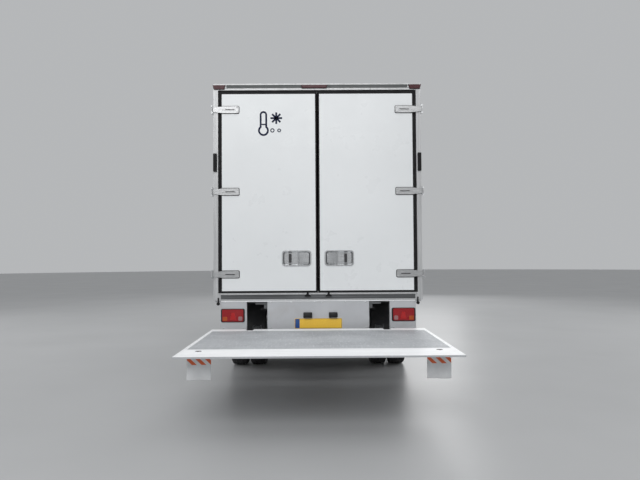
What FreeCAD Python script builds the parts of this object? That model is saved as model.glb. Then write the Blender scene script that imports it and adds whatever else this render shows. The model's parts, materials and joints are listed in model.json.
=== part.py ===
import FreeCAD, Part
import math
import os
import Sketcher

# Refrigerated truck: a two-axle cab-over chassis with an insulated box, twin rear doors,
# a refrigeration unit over the cab and a cantilever tail lift, at full size in millimetres.
# +X is right as seen from behind, +Y is forward and +Z is up. The origin lies on the
# ground under the middle of the whole outline, from the platform's tip to the bumper.

os.makedirs("parts", exist_ok=True)
doc = FreeCAD.newDocument("refrigerated_truck")
Vector = FreeCAD.Vector

# Driving sizes. Reaches are measured forward from the closed rear doors' outer face,
# heights from the ground, half widths and offsets from the truck's centre plane.
SIZES = {
    # running clearances
    "seat_gap": 0.3,
    "swing_gap": 6,
    "door_seal_gap": 8,
    "overrun": 10,
    # whole outline
    "body_width": 2300,
    "body_height": 3305,
    "box_length": 4650,
    "bumper_reach": 6430,
    # chassis rails
    "frame_width": 850,
    "rail_depth": 200,
    "rail_flange": 75,
    "rail_web": 8,
    "rail_bottom": 620,
    "rail_rear_reach": 60,
    "rail_front_reach": 6150,
    "cross_member_width": 70,
    "cross_member_depth": 130,
    "cross_member_wall": 7,
    # axles and wheels
    "rear_axle_reach": 1250,
    "front_axle_reach": 5150,
    "tyre_radius": 383.5,
    "tyre_width": 205,
    "twin_spacing": 236,
    "twin_outer_width": 2200,
    "front_track": 1850,
    "tyre_bulge_radius": 296,
    "tyre_shoulder_radius": 366,
    "tyre_tread_width": 168,
    "tyre_crown_drop": 5,
    "rim_seat_radius": 222,
    "rim_flange_radius": 238,
    "rim_flange_thick": 7,
    "rim_half_width": 92,
    "rim_wall": 10,
    "disc_offset": 118,
    "disc_thick": 13,
    "disc_rim_radius": 152,
    "hub_radius": 68,
    "hub_length": 96,
    "hub_cap_radius": 44,
    "hub_cap_length": 22,
    "wheel_nut_circle": 103,
    "wheel_nut_radius": 15,
    "wheel_nut_length": 24,
    "brake_drum_radius": 168,
    "brake_drum_width": 120,
    "spindle_radius": 34,
    # steering
    "kingpin_offset": 770,
    "kingpin_radius": 16,
    "kingpin_boss_radius": 38,
    "kingpin_boss_height": 84,
    "knuckle_lug_height": 30,
    "knuckle_flange_thick": 24,
    "knuckle_flange_radius": 95,
    "axle_beam_width": 90,
    "axle_beam_depth": 76,
    "axle_beam_drop": 70,
    "axle_beam_web": 26,
    "axle_beam_flange": 18,
    "axle_bend_offset": 540,
    "axle_level_offset": 680,
    # rear axle
    "axle_tube_radius": 58,
    "differential_radius": 175,
    "differential_length": 250,
    "differential_nose": 150,
    "differential_nose_radius": 62,
    # propeller shaft
    "propshaft_radius": 45,
    "propshaft_joint_radius": 62,
    "propshaft_joint_length": 90,
    # leaf springs
    "spring_width": 70,
    "spring_leaf": 14,
    "spring_half_length": 610,
    "spring_rise": 95,
    "spring_step": 130,
    "spring_eye_radius": 26,
    "spring_hanger_thick": 14,
    # engine and gearbox
    "engine_width": 600,
    "engine_rear_reach": 5000,
    "engine_front_reach": 5900,
    "engine_bottom": 450,
    "engine_top": 1030,
    "gearbox_width": 340,
    "gearbox_length": 520,
    "gearbox_bottom": 480,
    "gearbox_height": 330,
    # fuel tank, battery box, air tanks and silencer
    "tank_gap": 160,
    "tank_length": 860,
    "tank_inner": 470,
    "tank_outer": 1040,
    "tank_bottom": 330,
    "tank_height": 430,
    "tank_corner_radius": 90,
    "tank_band_width": 45,
    "battery_gap": 180,
    "battery_length": 640,
    "battery_height": 330,
    "battery_bottom": 420,
    "air_tank_radius": 125,
    "air_tank_length": 760,
    "air_tank_ahead_of_axle": 1310,
    "air_tank_offset": 620,
    "air_tank_height": 590,
    "silencer_radius": 130,
    "silencer_length": 700,
    "silencer_ahead_of_axle": 1170,
    "silencer_height": 570,
    "silencer_offset": 620,
    "exhaust_pipe_radius": 35,
    # insulated box
    "floor_top": 1000,
    "floor_bottom": 880,
    "side_wall": 65,
    "side_inset": 10,
    "front_wall": 70,
    "roof_thick": 90,
    "trim_thick": 8,
    "trim_leg": 92,
    "trim_lower_leg": 105,
    "subframe_rail_width": 70,
    "subframe_rail_rear": 60,
    "bearer_depth": 46,
    "bearer_width": 50,
    "bearer_first_reach": 700,
    "bearer_spacing": 490,
    # rear frame and doors
    "frame_depth": 90,
    "post_width": 52,
    "header_height": 72,
    "header_groove_height": 12,
    "groove_depth": 5,
    "sill_top": 985,
    "sill_bottom": 905,
    "sill_groove_top": 968,
    "sill_groove_bottom": 917,
    "door_thick": 80,
    "door_inner_edge": 23,
    "door_outer_edge": 1056,
    "door_bottom": 1009,
    "door_head_gap": 44,
    "seal_meeting_gap": 16,
    "seal_front": 14,
    "seal_back": 74,
    "hinge_pin_offset": 1162,
    "hinge_pin_stand": 20,
    "hinge_knuckle_radius": 10,
    "hinge_pin_radius": 4,
    "hinge_strap_length": 295,
    "hinge_strap_height": 76,
    "hinge_strap_tip_height": 50,
    "hinge_strap_thick": 12,
    "hinge_above_bottom": 183,
    "hinge_below_top": 176,
    "hinge_knuckle_split": 26,
    "handle_width": 300,
    "handle_height": 150,
    "handle_centre_height": 1366,
    "handle_inner_edge": 85,
    "handle_rim": 12,
    "handle_proud": 8,
    "handle_recess": 32,
    "handle_corner_radius": 30,
    "paddle_width": 105,
    "paddle_height": 92,
    "paddle_thick": 12,
    "paddle_pin_radius": 7,
    "keeper_offset": 107,
    "keeper_width": 46,
    "keeper_height": 34,
    "keeper_proud": 18,
    "buffer_width": 40,
    "buffer_height": 200,
    "buffer_below_header": 906,
    "buffer_proud": 24,
    "stop_radius": 18,
    "stop_offset": 1096,
    "stop_height": 871,
    "stop_proud": 20,
    "stop_strap_width": 16,
    "stop_strap_thick": 5,
    "stop_strap_lap": 30,
    # refrigeration unit and evaporator
    "unit_width": 1740,
    "unit_height": 540,
    "unit_below_roof": 35,
    "unit_depth": 430,
    "unit_chin": 110,
    "unit_brow": 90,
    "unit_corner_radius": 70,
    "unit_grille_depth": 26,
    "unit_grille_height": 260,
    "unit_grille_width": 620,
    "unit_grille_gap": 60,
    "unit_slat_pitch": 32,
    "unit_slat_thick": 9,
    "evaporator_width": 1360,
    "evaporator_depth": 560,
    "evaporator_drop": 210,
    "evaporator_nose": 90,
    # rear apron, lamps and number plate
    "apron_front": 6,
    "apron_thick": 4,
    "apron_top": 898,
    "apron_bottom": 560,
    "apron_half_width": 1075,
    "apron_return": 50,
    "slot_inner": 560,
    "slot_outer": 785,
    "slot_top": 889,
    "lamp_offset": 938,
    "lamp_height": 742,
    "lamp_width": 260,
    "lamp_tall": 147,
    "lamp_proud": 20,
    "lamp_corner_radius": 16,
    "plate_width": 520,
    "plate_height": 110,
    "plate_bottom": 594,
    "plate_thick": 2,
    "plate_lamp_width": 97,
    "plate_lamp_height": 54,
    "plate_lamp_offset": 140,
    "plate_lamp_shift": 24,
    "plate_lamp_bottom": 718,
    "plate_lamp_depth": 38,
    "marker_width": 140,
    "marker_height": 52,
    "marker_depth": 14,
    "brake_lamp_left": 180,
    "brake_lamp_right": 120,
    "brake_lamp_height": 38,
    "side_marker_length": 90,
    "side_marker_height": 34,
    "side_marker_depth": 14,
    "side_marker_level": 930,
    # tail lift: arm pivots, arms and platform
    "pivot_behind_tube": 166,
    "arm_pivot_height": 520,
    "tip_behind_doors": 213,
    "arm_rise": 42,
    "elbow_to_tip": 184,
    "elbow_drop": 66,
    "arm_inner": 700,
    "arm_outer": 760,
    "arm_depth": 100,
    "arm_tip_depth": 66,
    "arm_boss_radius": 40,
    "arm_pin_radius": 20,
    "tip_pin_radius": 14,
    "deck_above_pin": 45,
    "platform_ahead": 60,
    "platform_length": 1800,
    "platform_width": 2280,
    "platform_thick": 58,
    "platform_lip_thick": 14,
    "platform_lip_length": 380,
    "notch_width": 72,
    "notch_behind": 46,
    "hinge_plate_thick": 10,
    "hinge_plate_drop": 60,
    "tilt_offset": 620,
    "tilt_root_run": 50,
    "tilt_root_drop": 92,
    "tilt_barrel_radius": 30,
    "tilt_barrel_length": 520,
    "tilt_rod_radius": 14,
    "eye_radius": 24,
    "eye_width": 34,
    "eye_pin_radius": 11,
    "ear_thick": 10,
    "ear_gap": 68,
    "lift_root_run": 60,
    "lift_root_drop": 150,
    "lift_eye_run": 339,
    "lift_eye_drop": 121.5,
    "lift_barrel_radius": 32,
    "lift_barrel_length": 256,
    "lift_slot_clearance": 24,
    "lift_rod_radius": 16,
    "lift_eye_width": 30,
    "lift_ear_gap": 44,
    "tube_behind_axle": 498,
    "cross_tube_height": 425,
    "cross_tube_size": 100,
    "cross_tube_half": 800,
    "bracket_thick": 12,
    "hanger_thick": 12,
    "hanger_behind_tube": 192,
    "hanger_ahead_of_tube": 48,
    "flag_width": 200,
    "flag_drop": 190,
    "flag_thick": 6,
    "flag_offset": 990,
    "flag_from_tip": 300,
    # cab
    "cab_rear_reach": 4760,
    "cab_width": 2150,
    "cab_front_reach": 6385,
    "cab_bottom": 800,
    "cab_roof": 2450,
    "cab_rear_slope": 60,
    "cab_rear_shoulder": 2280,
    "screen_base_reach": 6350,
    "screen_base_height": 1560,
    "screen_top_reach": 6065,
    "screen_top_height": 2350,
    "roof_front_reach": 5900,
    "grille_top_height": 1430,
    "cab_edge_radius": 110,
    "cab_roof_radius": 150,
    "cab_bend_radius": 130,
    "cab_wall": 55,
    "cab_side_wall": 65,
    "cab_floor_top": 960,
    "cab_floor_bottom": 900,
    "tunnel_width": 760,
    "tunnel_top": 1080,
    "tunnel_skin": 45,
    "tunnel_front_reach": 6150,
    "wheel_arch_radius": 495,
    "pillar_inset": 900,
    "screen_bottom": 1620,
    "screen_top": 2268,
    "glass_thick": 6,
    "glass_inset": 8,
    "cab_door_rear_reach": 5330,
    "cab_door_front_reach": 6215,
    "cab_door_bottom": 880,
    "cab_door_top": 2285,
    "cab_door_shoulder": 1440,
    "cab_door_top_reach": 5915,
    "cab_door_gap": 6,
    "cab_door_pillar": 80,
    "cab_door_rail": 75,
    "cab_door_sill_height": 1570,
    "door_pocket": 38,
    "cab_handle_length": 150,
    "cab_handle_height": 34,
    "cab_handle_depth": 16,
    "cab_hinge_stand": 12,
    "cab_hinge_radius": 11,
    "cab_hinge_pin_radius": 5,
    "cab_hinge_half": 28,
    "cab_hinge_lug": 18,
    "cab_hinge_leaf": 44,
    "cab_hinge_leaf_thick": 7,
    "cab_hinge_low_height": 1000,
    "cab_hinge_high_height": 1360,
    "tilt_pivot_reach": 6275,
    "tilt_pivot_height": 790,
    "tilt_pin_radius": 20,
    "tilt_lug_offset": 460,
    "tilt_lug_thick": 22,
    "tilt_lug_radius": 42,
    "tilt_bracket_thick": 20,
    # bumper, lamps and steps
    "bumper_half_width": 1105,
    "bumper_wall": 22,
    "bumper_top": 756,
    "bumper_bottom": 400,
    "bumper_side_rear": 5700,
    "bumper_corner_radius": 130,
    "tow_offset": 300,
    "tow_height": 470,
    "tow_boss_radius": 34,
    "tow_boss_length": 85,
    "tow_bore_radius": 16,
    "tow_bore_length": 60,
    "headlamp_inner": 560,
    "headlamp_outer": 930,
    "headlamp_bottom": 540,
    "headlamp_top": 690,
    "headlamp_depth": 16,
    "step_inner": 800,
    "step_low_height": 420,
    "step_high_height": 640,
    "step_thick": 30,
    "step_rear_reach": 5720,
    "step_front_reach": 6220,
    "mudguard_thick": 5,
    "mudguard_gap": 42,
    "front_mudguard_inner": 780,
    "guard_rail_height": 100,
    "guard_rail_thick": 30,
    "guard_low_height": 400,
    "guard_high_height": 620,
    "guard_rear_reach": 1760,
    "guard_front_reach": 4560,
    "guard_outer": 1115,
    "guard_post_width": 60,
    # cab interior and mirrors
    "seat_width": 500,
    "seat_offset": 700,
    "seat_cushion_thick": 130,
    "seat_cushion_length": 500,
    "seat_back_height": 780,
    "seat_back_thick": 130,
    "seat_rear_reach": 4960,
    "seat_base_height": 290,
    "seat_rake": 90,
    "dash_rear_reach": 5960,
    "dash_front_reach": 6240,
    "dash_bottom": 1180,
    "dash_top": 1500,
    "dash_knee": 110,
    "steering_wheel_offset": 640,
    "steering_wheel_radius": 215,
    "steering_wheel_rim": 15,
    "steering_column_radius": 30,
    "steering_wheel_reach": 5760,
    "steering_wheel_height": 1560,
    "mirror_width": 190,
    "mirror_height": 380,
    "mirror_depth": 90,
    "mirror_inner": 1105,
    "mirror_rear_reach": 6250,
    "mirror_bottom": 1640,
    "mirror_arm_radius": 13,
    "mirror_foot_radius": 20,
    "mirror_joint_radius": 19,
    "mirror_low_foot_reach": 6211,
    "mirror_high_foot_reach": 6030,
}

# Counts and angles, which stay as they are when the truck is scaled.
COUNTS = {
    "cross_members": 6,
    "wheel_nuts": 6,
    "spring_leaves": 3,
    "floor_bearers": 9,
    "guard_posts": 3,
    "guard_first_bearer": 3,
    "side_markers": 4,
}
ANGLES = {"steering_wheel_lean": 62}

# Shares of the sizes that a form lies on.
TYRE_SHOULDER_SHARE = 0.94
TYRE_FLANK_SHARE = 0.95
TANK_BAND_SHARES = (0.2, 0.8)
REAR_GUARD_ARM_SHARES = (0.6, 0.8)
FRONT_GUARD_LEVEL_SHARE = 0.62
ROD_OVERLAP_SHARE = 0.4

# Turns in degrees, and how nearly an edge runs along its extrusion or a corner meets a point.
FULL_TURN = 360
QUARTER_TURN = 90
ALONG_EXTRUSION = 0.999
SAME_POINT = 0.01


class Size:
    """A length known both as a number and as the expression that the document recomputes."""

    def __init__(self, text, value):
        self.text = text
        self.value = value

    def __add__(self, other):
        return Size("(%s + %s)" % (self.text, text_of(other)), self.value + value_of(other))

    def __radd__(self, other):
        return self + other

    def __sub__(self, other):
        return Size("(%s - %s)" % (self.text, text_of(other)), self.value - value_of(other))

    def __rsub__(self, other):
        return Size("(%s - %s)" % (text_of(other), self.text), value_of(other) - self.value)

    def __mul__(self, factor):
        return Size("(%s * %s)" % (self.text, text_of(factor)), self.value * value_of(factor))

    def __rmul__(self, factor):
        return self * factor

    def __truediv__(self, factor):
        return Size("(%s / %s)" % (self.text, text_of(factor)), self.value / value_of(factor))

    def __neg__(self):
        return Size("(-%s)" % self.text, -self.value)


def text_of(amount):
    return amount.text if isinstance(amount, Size) else repr(amount)


def value_of(amount):
    return amount.value if isinstance(amount, Size) else amount


class Sizes:
    """Gives each cell of the spreadsheet as an attribute."""


def fill_sheet(tables):
    """Writes the tables to the spreadsheet and returns its cells as Size attributes."""
    sheet = doc.addObject("Spreadsheet::Sheet", "Dims")
    row = 0
    cells = Sizes()
    for table in tables:
        for name, amount in table.items():
            row += 1
            sheet.set("A%d" % row, name)
            sheet.set("B%d" % row, str(amount))
            setattr(cells, name, Size("Dims." + name, amount))
    doc.recompute()
    row = 0
    for table in tables:
        for name in table:
            row += 1
            sheet.setAlias("B%d" % row, name)
    doc.recompute()
    return cells


d = fill_sheet([SIZES, COUNTS, ANGLES])

AXIS_TURN = {
    "x": FreeCAD.Rotation(Vector(0, 1, 0), QUARTER_TURN),
    "y": FreeCAD.Rotation(Vector(1, 0, 0), -QUARTER_TURN),
    "z": FreeCAD.Rotation(),
}
PLANE_ROLE = {"x": "YZ_Plane", "y": "XZ_Plane", "z": "XY_Plane"}
nodes = []
fixed_hardware = []


def bind(thing, name, amount):
    """Binds one property to a size."""
    if isinstance(amount, Size):
        thing.setExpression(name, amount.text)
    else:
        thing.setExpression(name, repr(amount))


def move_to(thing, x, y, z):
    """Binds a placement's base to three sizes."""
    bind(thing, "Placement.Base.x", x)
    bind(thing, "Placement.Base.y", y)
    bind(thing, "Placement.Base.z", z)
    return thing


def block(name, x, y, z):
    """A box between the low and high ends of each axis."""
    solid = doc.addObject("Part::Box", name)
    bind(solid, "Length", x[1] - x[0])
    bind(solid, "Width", y[1] - y[0])
    bind(solid, "Height", z[1] - z[0])
    return move_to(solid, x[0], y[0], z[0])


def bar(name, axis, radius, span, place):
    """A round bar along an axis, over a span of it, at the two other coordinates."""
    solid = doc.addObject("Part::Cylinder", name)
    bind(solid, "Radius", radius)
    bind(solid, "Height", span[1] - span[0])
    solid.Placement = FreeCAD.Placement(Vector(), AXIS_TURN[axis])
    if axis == "x":
        return move_to(solid, span[0], place[0], place[1])
    if axis == "y":
        return move_to(solid, place[0], span[0], place[1])
    return move_to(solid, place[0], place[1], span[0])


def strut(name, radius, start, end):
    """A round bar from one point to another."""
    first = Vector(*[value_of(part) for part in start])
    way = Vector(*[value_of(part) for part in end]) - first
    solid = doc.addObject("Part::Cylinder", name)
    bind(solid, "Radius", radius)
    solid.Height = way.Length
    solid.Placement = FreeCAD.Placement(first, FreeCAD.Rotation(Vector(0, 0, 1), way))
    return solid


def ball(name, radius, place):
    """A sphere about a point."""
    solid = doc.addObject("Part::Sphere", name)
    bind(solid, "Radius", radius)
    return move_to(solid, place[0], place[1], place[2])


def sketch_on(body, name, role, loops):
    """Draws closed loops of bound corner points, or circles, on one of the body's planes."""
    sketch = body.newObject("Sketcher::SketchObject", name)
    plane = [part for part in body.Origin.OriginFeatures if part.Role == role][0]
    sketch.AttachmentSupport = [(plane, "")]
    sketch.MapMode = "FlatFace"
    for loop in loops:
        first = sketch.GeometryCount
        if isinstance(loop, dict):
            centre = Vector(value_of(loop["u"]), value_of(loop["v"]), 0)
            circle = Part.Circle(centre, Vector(0, 0, 1), value_of(loop["radius"]))
            sketch.addGeometry(circle, False)
            pin_point(sketch, first, 3, loop["u"], loop["v"])
            size = sketch.addConstraint(Sketcher.Constraint("Radius", first, value_of(loop["radius"])))
            bind(sketch, "Constraints[%d]" % size, loop["radius"])
            continue
        corners = [Vector(value_of(u), value_of(v), 0) for u, v in loop]
        count = len(corners)
        lines = [Part.LineSegment(corners[i], corners[(i + 1) % count]) for i in range(count)]
        sketch.addGeometry(lines, False)
        meets = []
        for i in range(count):
            meets.append(Sketcher.Constraint("Coincident", first + i, 2, first + (i + 1) % count, 1))
        sketch.addConstraint(meets)
        for i, (u, v) in enumerate(loop):
            pin_point(sketch, first + i, 1, u, v)
    return sketch


def pin_point(sketch, geometry, end, u, v):
    """Holds one point of a sketch at two bound coordinates."""
    across = sketch.addConstraint(Sketcher.Constraint("DistanceX", -1, 1, geometry, end, value_of(u)))
    bind(sketch, "Constraints[%d]" % across, u)
    up = sketch.addConstraint(Sketcher.Constraint("DistanceY", -1, 1, geometry, end, value_of(v)))
    bind(sketch, "Constraints[%d]" % up, v)


def padded(name, axis, loops, span, corners=None):
    """Pads one or more closed loops along an axis, and rounds the named corners.

    Across x a loop's points are (y, z), across y they are (x, z), and across z (x, y).
    corners maps a radius to the numbers of the first loop's points that it rounds.
    """
    if not isinstance(loops[0], (list, dict)):
        loops = [loops]
    body = doc.addObject("PartDesign::Body", name)
    sketch = sketch_on(body, name + "_outline", PLANE_ROLE[axis], loops)
    start = -span[1] if axis == "y" else span[0]
    bind(sketch, ".AttachmentOffset.Base.z", start)
    pad = body.newObject("PartDesign::Pad", name + "_pad")
    pad.Profile = sketch
    bind(pad, "Length", span[1] - span[0])
    doc.recompute()
    last = pad
    for number, (radius, picks) in enumerate(corners or []):
        spots = [Vector(value_of(loops[0][i][0]), value_of(loops[0][i][1]), 0) for i in picks]
        names = corner_edges(last.Shape, axis, spots)
        fillet = body.newObject("PartDesign::Fillet", "%s_round_%d" % (name, number))
        fillet.Base = (last, names)
        bind(fillet, "Radius", radius)
        doc.recompute()
        last = fillet
    return body


def corner_edges(shape, axis, spots):
    """Names the straight edges along an axis that stand on the given spots."""
    names = []
    for index, edge in enumerate(shape.Edges):
        if not isinstance(edge.Curve, Part.Line):
            continue
        way = edge.tangentAt(edge.FirstParameter)
        along = {"x": way.x, "y": way.y, "z": way.z}[axis]
        if abs(along) < ALONG_EXTRUSION:
            continue
        place = edge.CenterOfMass
        flat = {"x": (place.y, place.z), "y": (place.x, place.z), "z": (place.x, place.y)}[axis]
        for spot in spots:
            if math.hypot(flat[0] - spot.x, flat[1] - spot.y) < SAME_POINT:
                names.append("Edge%d" % (index + 1))
    return names


def turned(name, outline, place):
    """Turns a section of (x, radius) points about the x axis through a place."""
    body = doc.addObject("PartDesign::Body", name)
    sketch = sketch_on(body, name + "_section", "XY_Plane", [outline])
    turn = body.newObject("PartDesign::Revolution", name + "_turn")
    turn.Profile = sketch
    turn.ReferenceAxis = (sketch, ["H_Axis"])
    turn.Angle = FULL_TURN
    doc.recompute()
    return move_to(body, place[0], place[1], place[2])


def joined(name, solids):
    """One piece made of solids that meet or overlap."""
    whole = doc.addObject("Part::MultiFuse", name)
    whole.Shapes = solids
    whole.Refine = True
    return whole


def gathered(name, solids):
    """Like pieces that don't touch, kept together."""
    whole = doc.addObject("Part::Compound", name)
    whole.Links = solids
    return whole


def cut(name, base, tools):
    """Takes the tools out of the base."""
    result = doc.addObject("Part::Cut", name)
    result.Base = base
    result.Tool = tools[0] if len(tools) == 1 else gathered_tools(name, tools)
    result.Refine = True
    return result


def gathered_tools(name, tools):
    whole = doc.addObject("Part::MultiFuse", name + "_tools")
    whole.Shapes = tools
    return whole


def common(name, first, second):
    """What two solids share."""
    result = doc.addObject("Part::Common", name)
    result.Base = first
    result.Tool = second
    return result


def mirrored(name, source):
    """The same piece on the other side of the truck."""
    result = doc.addObject("Part::Mirroring", name)
    result.Source = source
    result.Base = Vector(0, 0, 0)
    result.Normal = Vector(1, 0, 0)
    return result


def eased(name, base, radius, test):
    """Rounds the edges of a solid that a test picks."""
    doc.recompute()
    result = doc.addObject("Part::Fillet", name)
    result.Base = base
    picks = [(i + 1, radius.value, radius.value) for i, edge in enumerate(base.Shape.Edges) if test(edge)]
    result.Edges = picks
    return result


def both(name, solid):
    """A piece and its mirror image as one node's solids."""
    return gathered(name, [solid, mirrored(name + "_mirror", solid)])


def keep(name, thing):
    """Names a finished piece, which becomes one file."""
    thing.Label = name
    nodes.append(thing)
    return thing


def half(width):
    """The low and high ends of a width about the centre plane."""
    return (-width / 2, width / 2)


def spread(low, high, number, count):
    """One of several even steps from a low to a high place."""
    return low + (high - low) * number / (count - 1)


# The rear doors' outer face lies this far from the origin along y.
platform_reach = d.tip_behind_doors + d.platform_length - d.platform_ahead
rear_y = (platform_reach - d.bumper_reach) / 2


def at(reach):
    """The y of a place that lies a reach forward of the rear face."""
    return rear_y + reach


def reach_span(rear, front):
    return (at(rear), at(front))


rail_outer = d.frame_width / 2
rail_inner = rail_outer - d.rail_web
rail_top = d.rail_bottom + d.rail_depth
wheel_z = d.tyre_radius
front_axle_y = at(d.front_axle_reach)
rear_axle_y = at(d.rear_axle_reach)


def cab_tilt_bracket():
    """The plate and pin at the rail's front end that the cab tilts on."""
    lug_y = at(d.tilt_pivot_reach)
    lug_z = d.tilt_pivot_height
    low = d.rail_bottom + d.rail_flange / 2
    plate = padded("tilt_bracket_plate", "x", [
        (at(d.rail_front_reach) - d.tilt_lug_radius * 4, low), (lug_y + d.tilt_lug_radius / 2, low),
        (lug_y + d.tilt_lug_radius, lug_z), (lug_y + d.tilt_lug_radius / 2, lug_z + d.tilt_lug_radius),
        (lug_y - d.tilt_lug_radius, lug_z + d.tilt_lug_radius),
        (at(d.rail_front_reach) - d.tilt_lug_radius * 4, rail_top),
    ], (rail_outer, rail_outer + d.tilt_bracket_thick))
    pin = bar("cab_tilt_pin", "x", d.tilt_pin_radius,
              (rail_outer, d.tilt_lug_offset + d.tilt_lug_thick + d.tilt_bracket_thick / 2), (lug_y,
                                                                                              lug_z))
    return joined("cab_tilt_bracket", [plate, pin])


def chassis_frame():
    """Two channel rails, open towards each other, and the channels that tie them."""
    flange_edge = rail_outer - d.rail_flange
    low = d.rail_bottom
    section = [
        (rail_outer, low), (rail_outer, rail_top), (flange_edge, rail_top),
        (flange_edge, rail_top - d.rail_web), (rail_inner, rail_top - d.rail_web),
        (rail_inner, low + d.rail_web), (flange_edge, low + d.rail_web), (flange_edge, low),
    ]
    rail = padded("rail", "y", section, reach_span(d.rail_rear_reach, d.rail_front_reach))
    members = [rail, mirrored("rail_left", rail)]
    middle = (d.rail_bottom + rail_top) / 2
    bottom = middle - d.cross_member_depth / 2
    top = middle + d.cross_member_depth / 2
    count = COUNTS["cross_members"]
    wall = d.cross_member_wall
    for number in range(count):
        last_reach = d.engine_rear_reach - d.gearbox_length - d.cross_member_width
        rear = spread(d.rail_rear_reach, last_reach, number, count)
        if number == count - 1:
            rear = d.rail_front_reach - d.cross_member_width
        start = at(rear)
        end = start + d.cross_member_width
        channel = [
            (start, bottom), (end, bottom), (end, bottom + wall), (start + wall, bottom + wall),
            (start + wall, top - wall), (end, top - wall), (end, top), (start, top),
        ]
        members.append(padded("cross_member_%d" % number, "x", channel, (-rail_inner, rail_inner)))
    bracket = cab_tilt_bracket()
    members.extend([bracket, mirrored("cab_tilt_bracket_left", bracket)])
    keep("chassis_frame", joined("chassis_frame", members))


def box_subframe():
    """Longitudinal bearers on the rails and cross bearers under the box floor."""
    rail = block("subframe_rail", (rail_outer - d.subframe_rail_width, rail_outer),
                 reach_span(d.subframe_rail_rear, d.box_length), (rail_top, d.floor_bottom))
    parts = [rail, mirrored("subframe_rail_left", rail)]
    bearer_half = d.body_width / 2 - d.side_inset - d.trim_thick
    for number in range(COUNTS["floor_bearers"]):
        start = at(d.bearer_first_reach + d.bearer_spacing * number)
        parts.append(block("bearer_%d" % number, (-bearer_half, bearer_half),
                           (start, start + d.bearer_width), (d.floor_bottom - d.bearer_depth,
                                                             d.floor_bottom)))
    keep("box_subframe", joined("box_subframe", parts))


side_outer = d.body_width / 2 - d.side_inset
side_inner = side_outer - d.side_wall
wall_rear = at(d.frame_depth)
wall_front = at(d.box_length)
roof_top = d.body_height - d.trim_thick
roof_bottom = d.body_height - d.roof_thick


def insulated_box():
    """Floor, two sides, front wall and roof: panels as thick as their insulation."""
    keep("box_floor", block("box_floor", (-side_inner, side_inner),
                            (wall_rear, wall_front - d.front_wall), (d.floor_bottom, d.floor_top)))
    side = block("box_side", (side_inner, side_outer), (wall_rear, wall_front),
                 (d.floor_bottom, roof_bottom))
    keep("box_sides", both("box_sides", side))
    keep("box_front_wall", block("box_front_wall", (-side_inner, side_inner),
                                 (wall_front - d.front_wall, wall_front), (d.floor_bottom, roof_bottom)))
    keep("box_roof", block("box_roof", (-side_outer, side_outer), (wall_rear, wall_front),
                           (roof_bottom, roof_top)))


def edge_profiles():
    """Aluminium angles along the box's upper, lower and front upright edges."""
    outer = side_outer + d.trim_thick
    inner = outer - d.trim_leg
    front = wall_front + d.trim_thick
    upper = [
        (side_outer, roof_bottom), (outer, roof_bottom), (outer, d.body_height),
        (inner, d.body_height), (inner, roof_top), (side_outer, roof_top),
    ]
    roof_edge = padded("roof_edge", "y", upper, (wall_rear, front), [(d.trim_thick, [2])])
    lower = block("lower_edge", (side_outer, outer), (wall_rear, front),
                  (d.floor_bottom, d.floor_bottom + d.trim_lower_leg))
    corner = [
        (inner, wall_front), (inner, front), (outer, front),
        (outer, front - d.trim_leg), (side_outer, front - d.trim_leg), (side_outer, wall_front),
    ]
    upright = padded("upright_edge", "z", corner, (d.floor_bottom, roof_bottom), [(d.trim_thick, [2])])
    side = joined("edge_profile_right", [roof_edge, lower, upright])
    keep("edge_profiles", both("edge_profiles", side))


post_inner = d.body_width / 2 - d.post_width
header_bottom = d.body_height - d.header_height
door_top = header_bottom - d.door_head_gap


def rear_frame():
    """The welded frame round the doors: posts, header and sill, with pressed grooves."""
    outer = d.body_width / 2
    rear = at(0)
    front = at(d.frame_depth)
    outline = [(-outer, d.sill_bottom), (outer, d.sill_bottom), (outer, d.body_height),
               (-outer, d.body_height)]
    opening = [(-post_inner, d.sill_top), (post_inner, d.sill_top),
               (post_inner, header_bottom), (-post_inner, header_bottom)]
    frame = padded("door_frame", "y", [outline, opening], (rear, front))
    past = rear - d.overrun
    grooves = [block("sill_groove", (-post_inner, post_inner), (past, rear + d.groove_depth),
                     (d.sill_groove_bottom, d.sill_groove_top))]
    for number in (1, 3):
        low = header_bottom + d.header_groove_height * number
        grooves.append(block("header_groove_%d" % number, (-outer - d.overrun, outer + d.overrun),
                             (past, rear + d.groove_depth), (low, low + d.header_groove_height)))
    keep("rear_frame", cut("rear_frame", frame, grooves))
    buffer_x = (outer - d.buffer_width, outer)
    buffer_bottom = header_bottom - d.buffer_below_header
    rubber = block("post_buffer", buffer_x, (rear - d.buffer_proud, rear),
                   (buffer_bottom, buffer_bottom + d.buffer_height))
    rounded = eased("post_buffer_round", rubber, d.groove_depth,
                    lambda edge: edge.CenterOfMass.y < rear.value - d.seat_gap.value)
    stop = bar("sill_stop", "y", d.stop_radius, (rear - d.stop_proud, rear),
               (d.stop_offset, d.stop_height))
    strap = block("stop_strap", half_about(d.stop_offset, d.stop_strap_width),
                  (rear - d.stop_strap_thick, rear),
                  (d.stop_height, d.sill_bottom + d.stop_strap_lap))
    hung = joined("hung_stop", [stop, strap])
    keep("rubber_buffers", gathered("rubber_buffers", [
        rounded, mirrored("post_buffer_left", rounded), hung, mirrored("hung_stop_left", hung)]))


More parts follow.
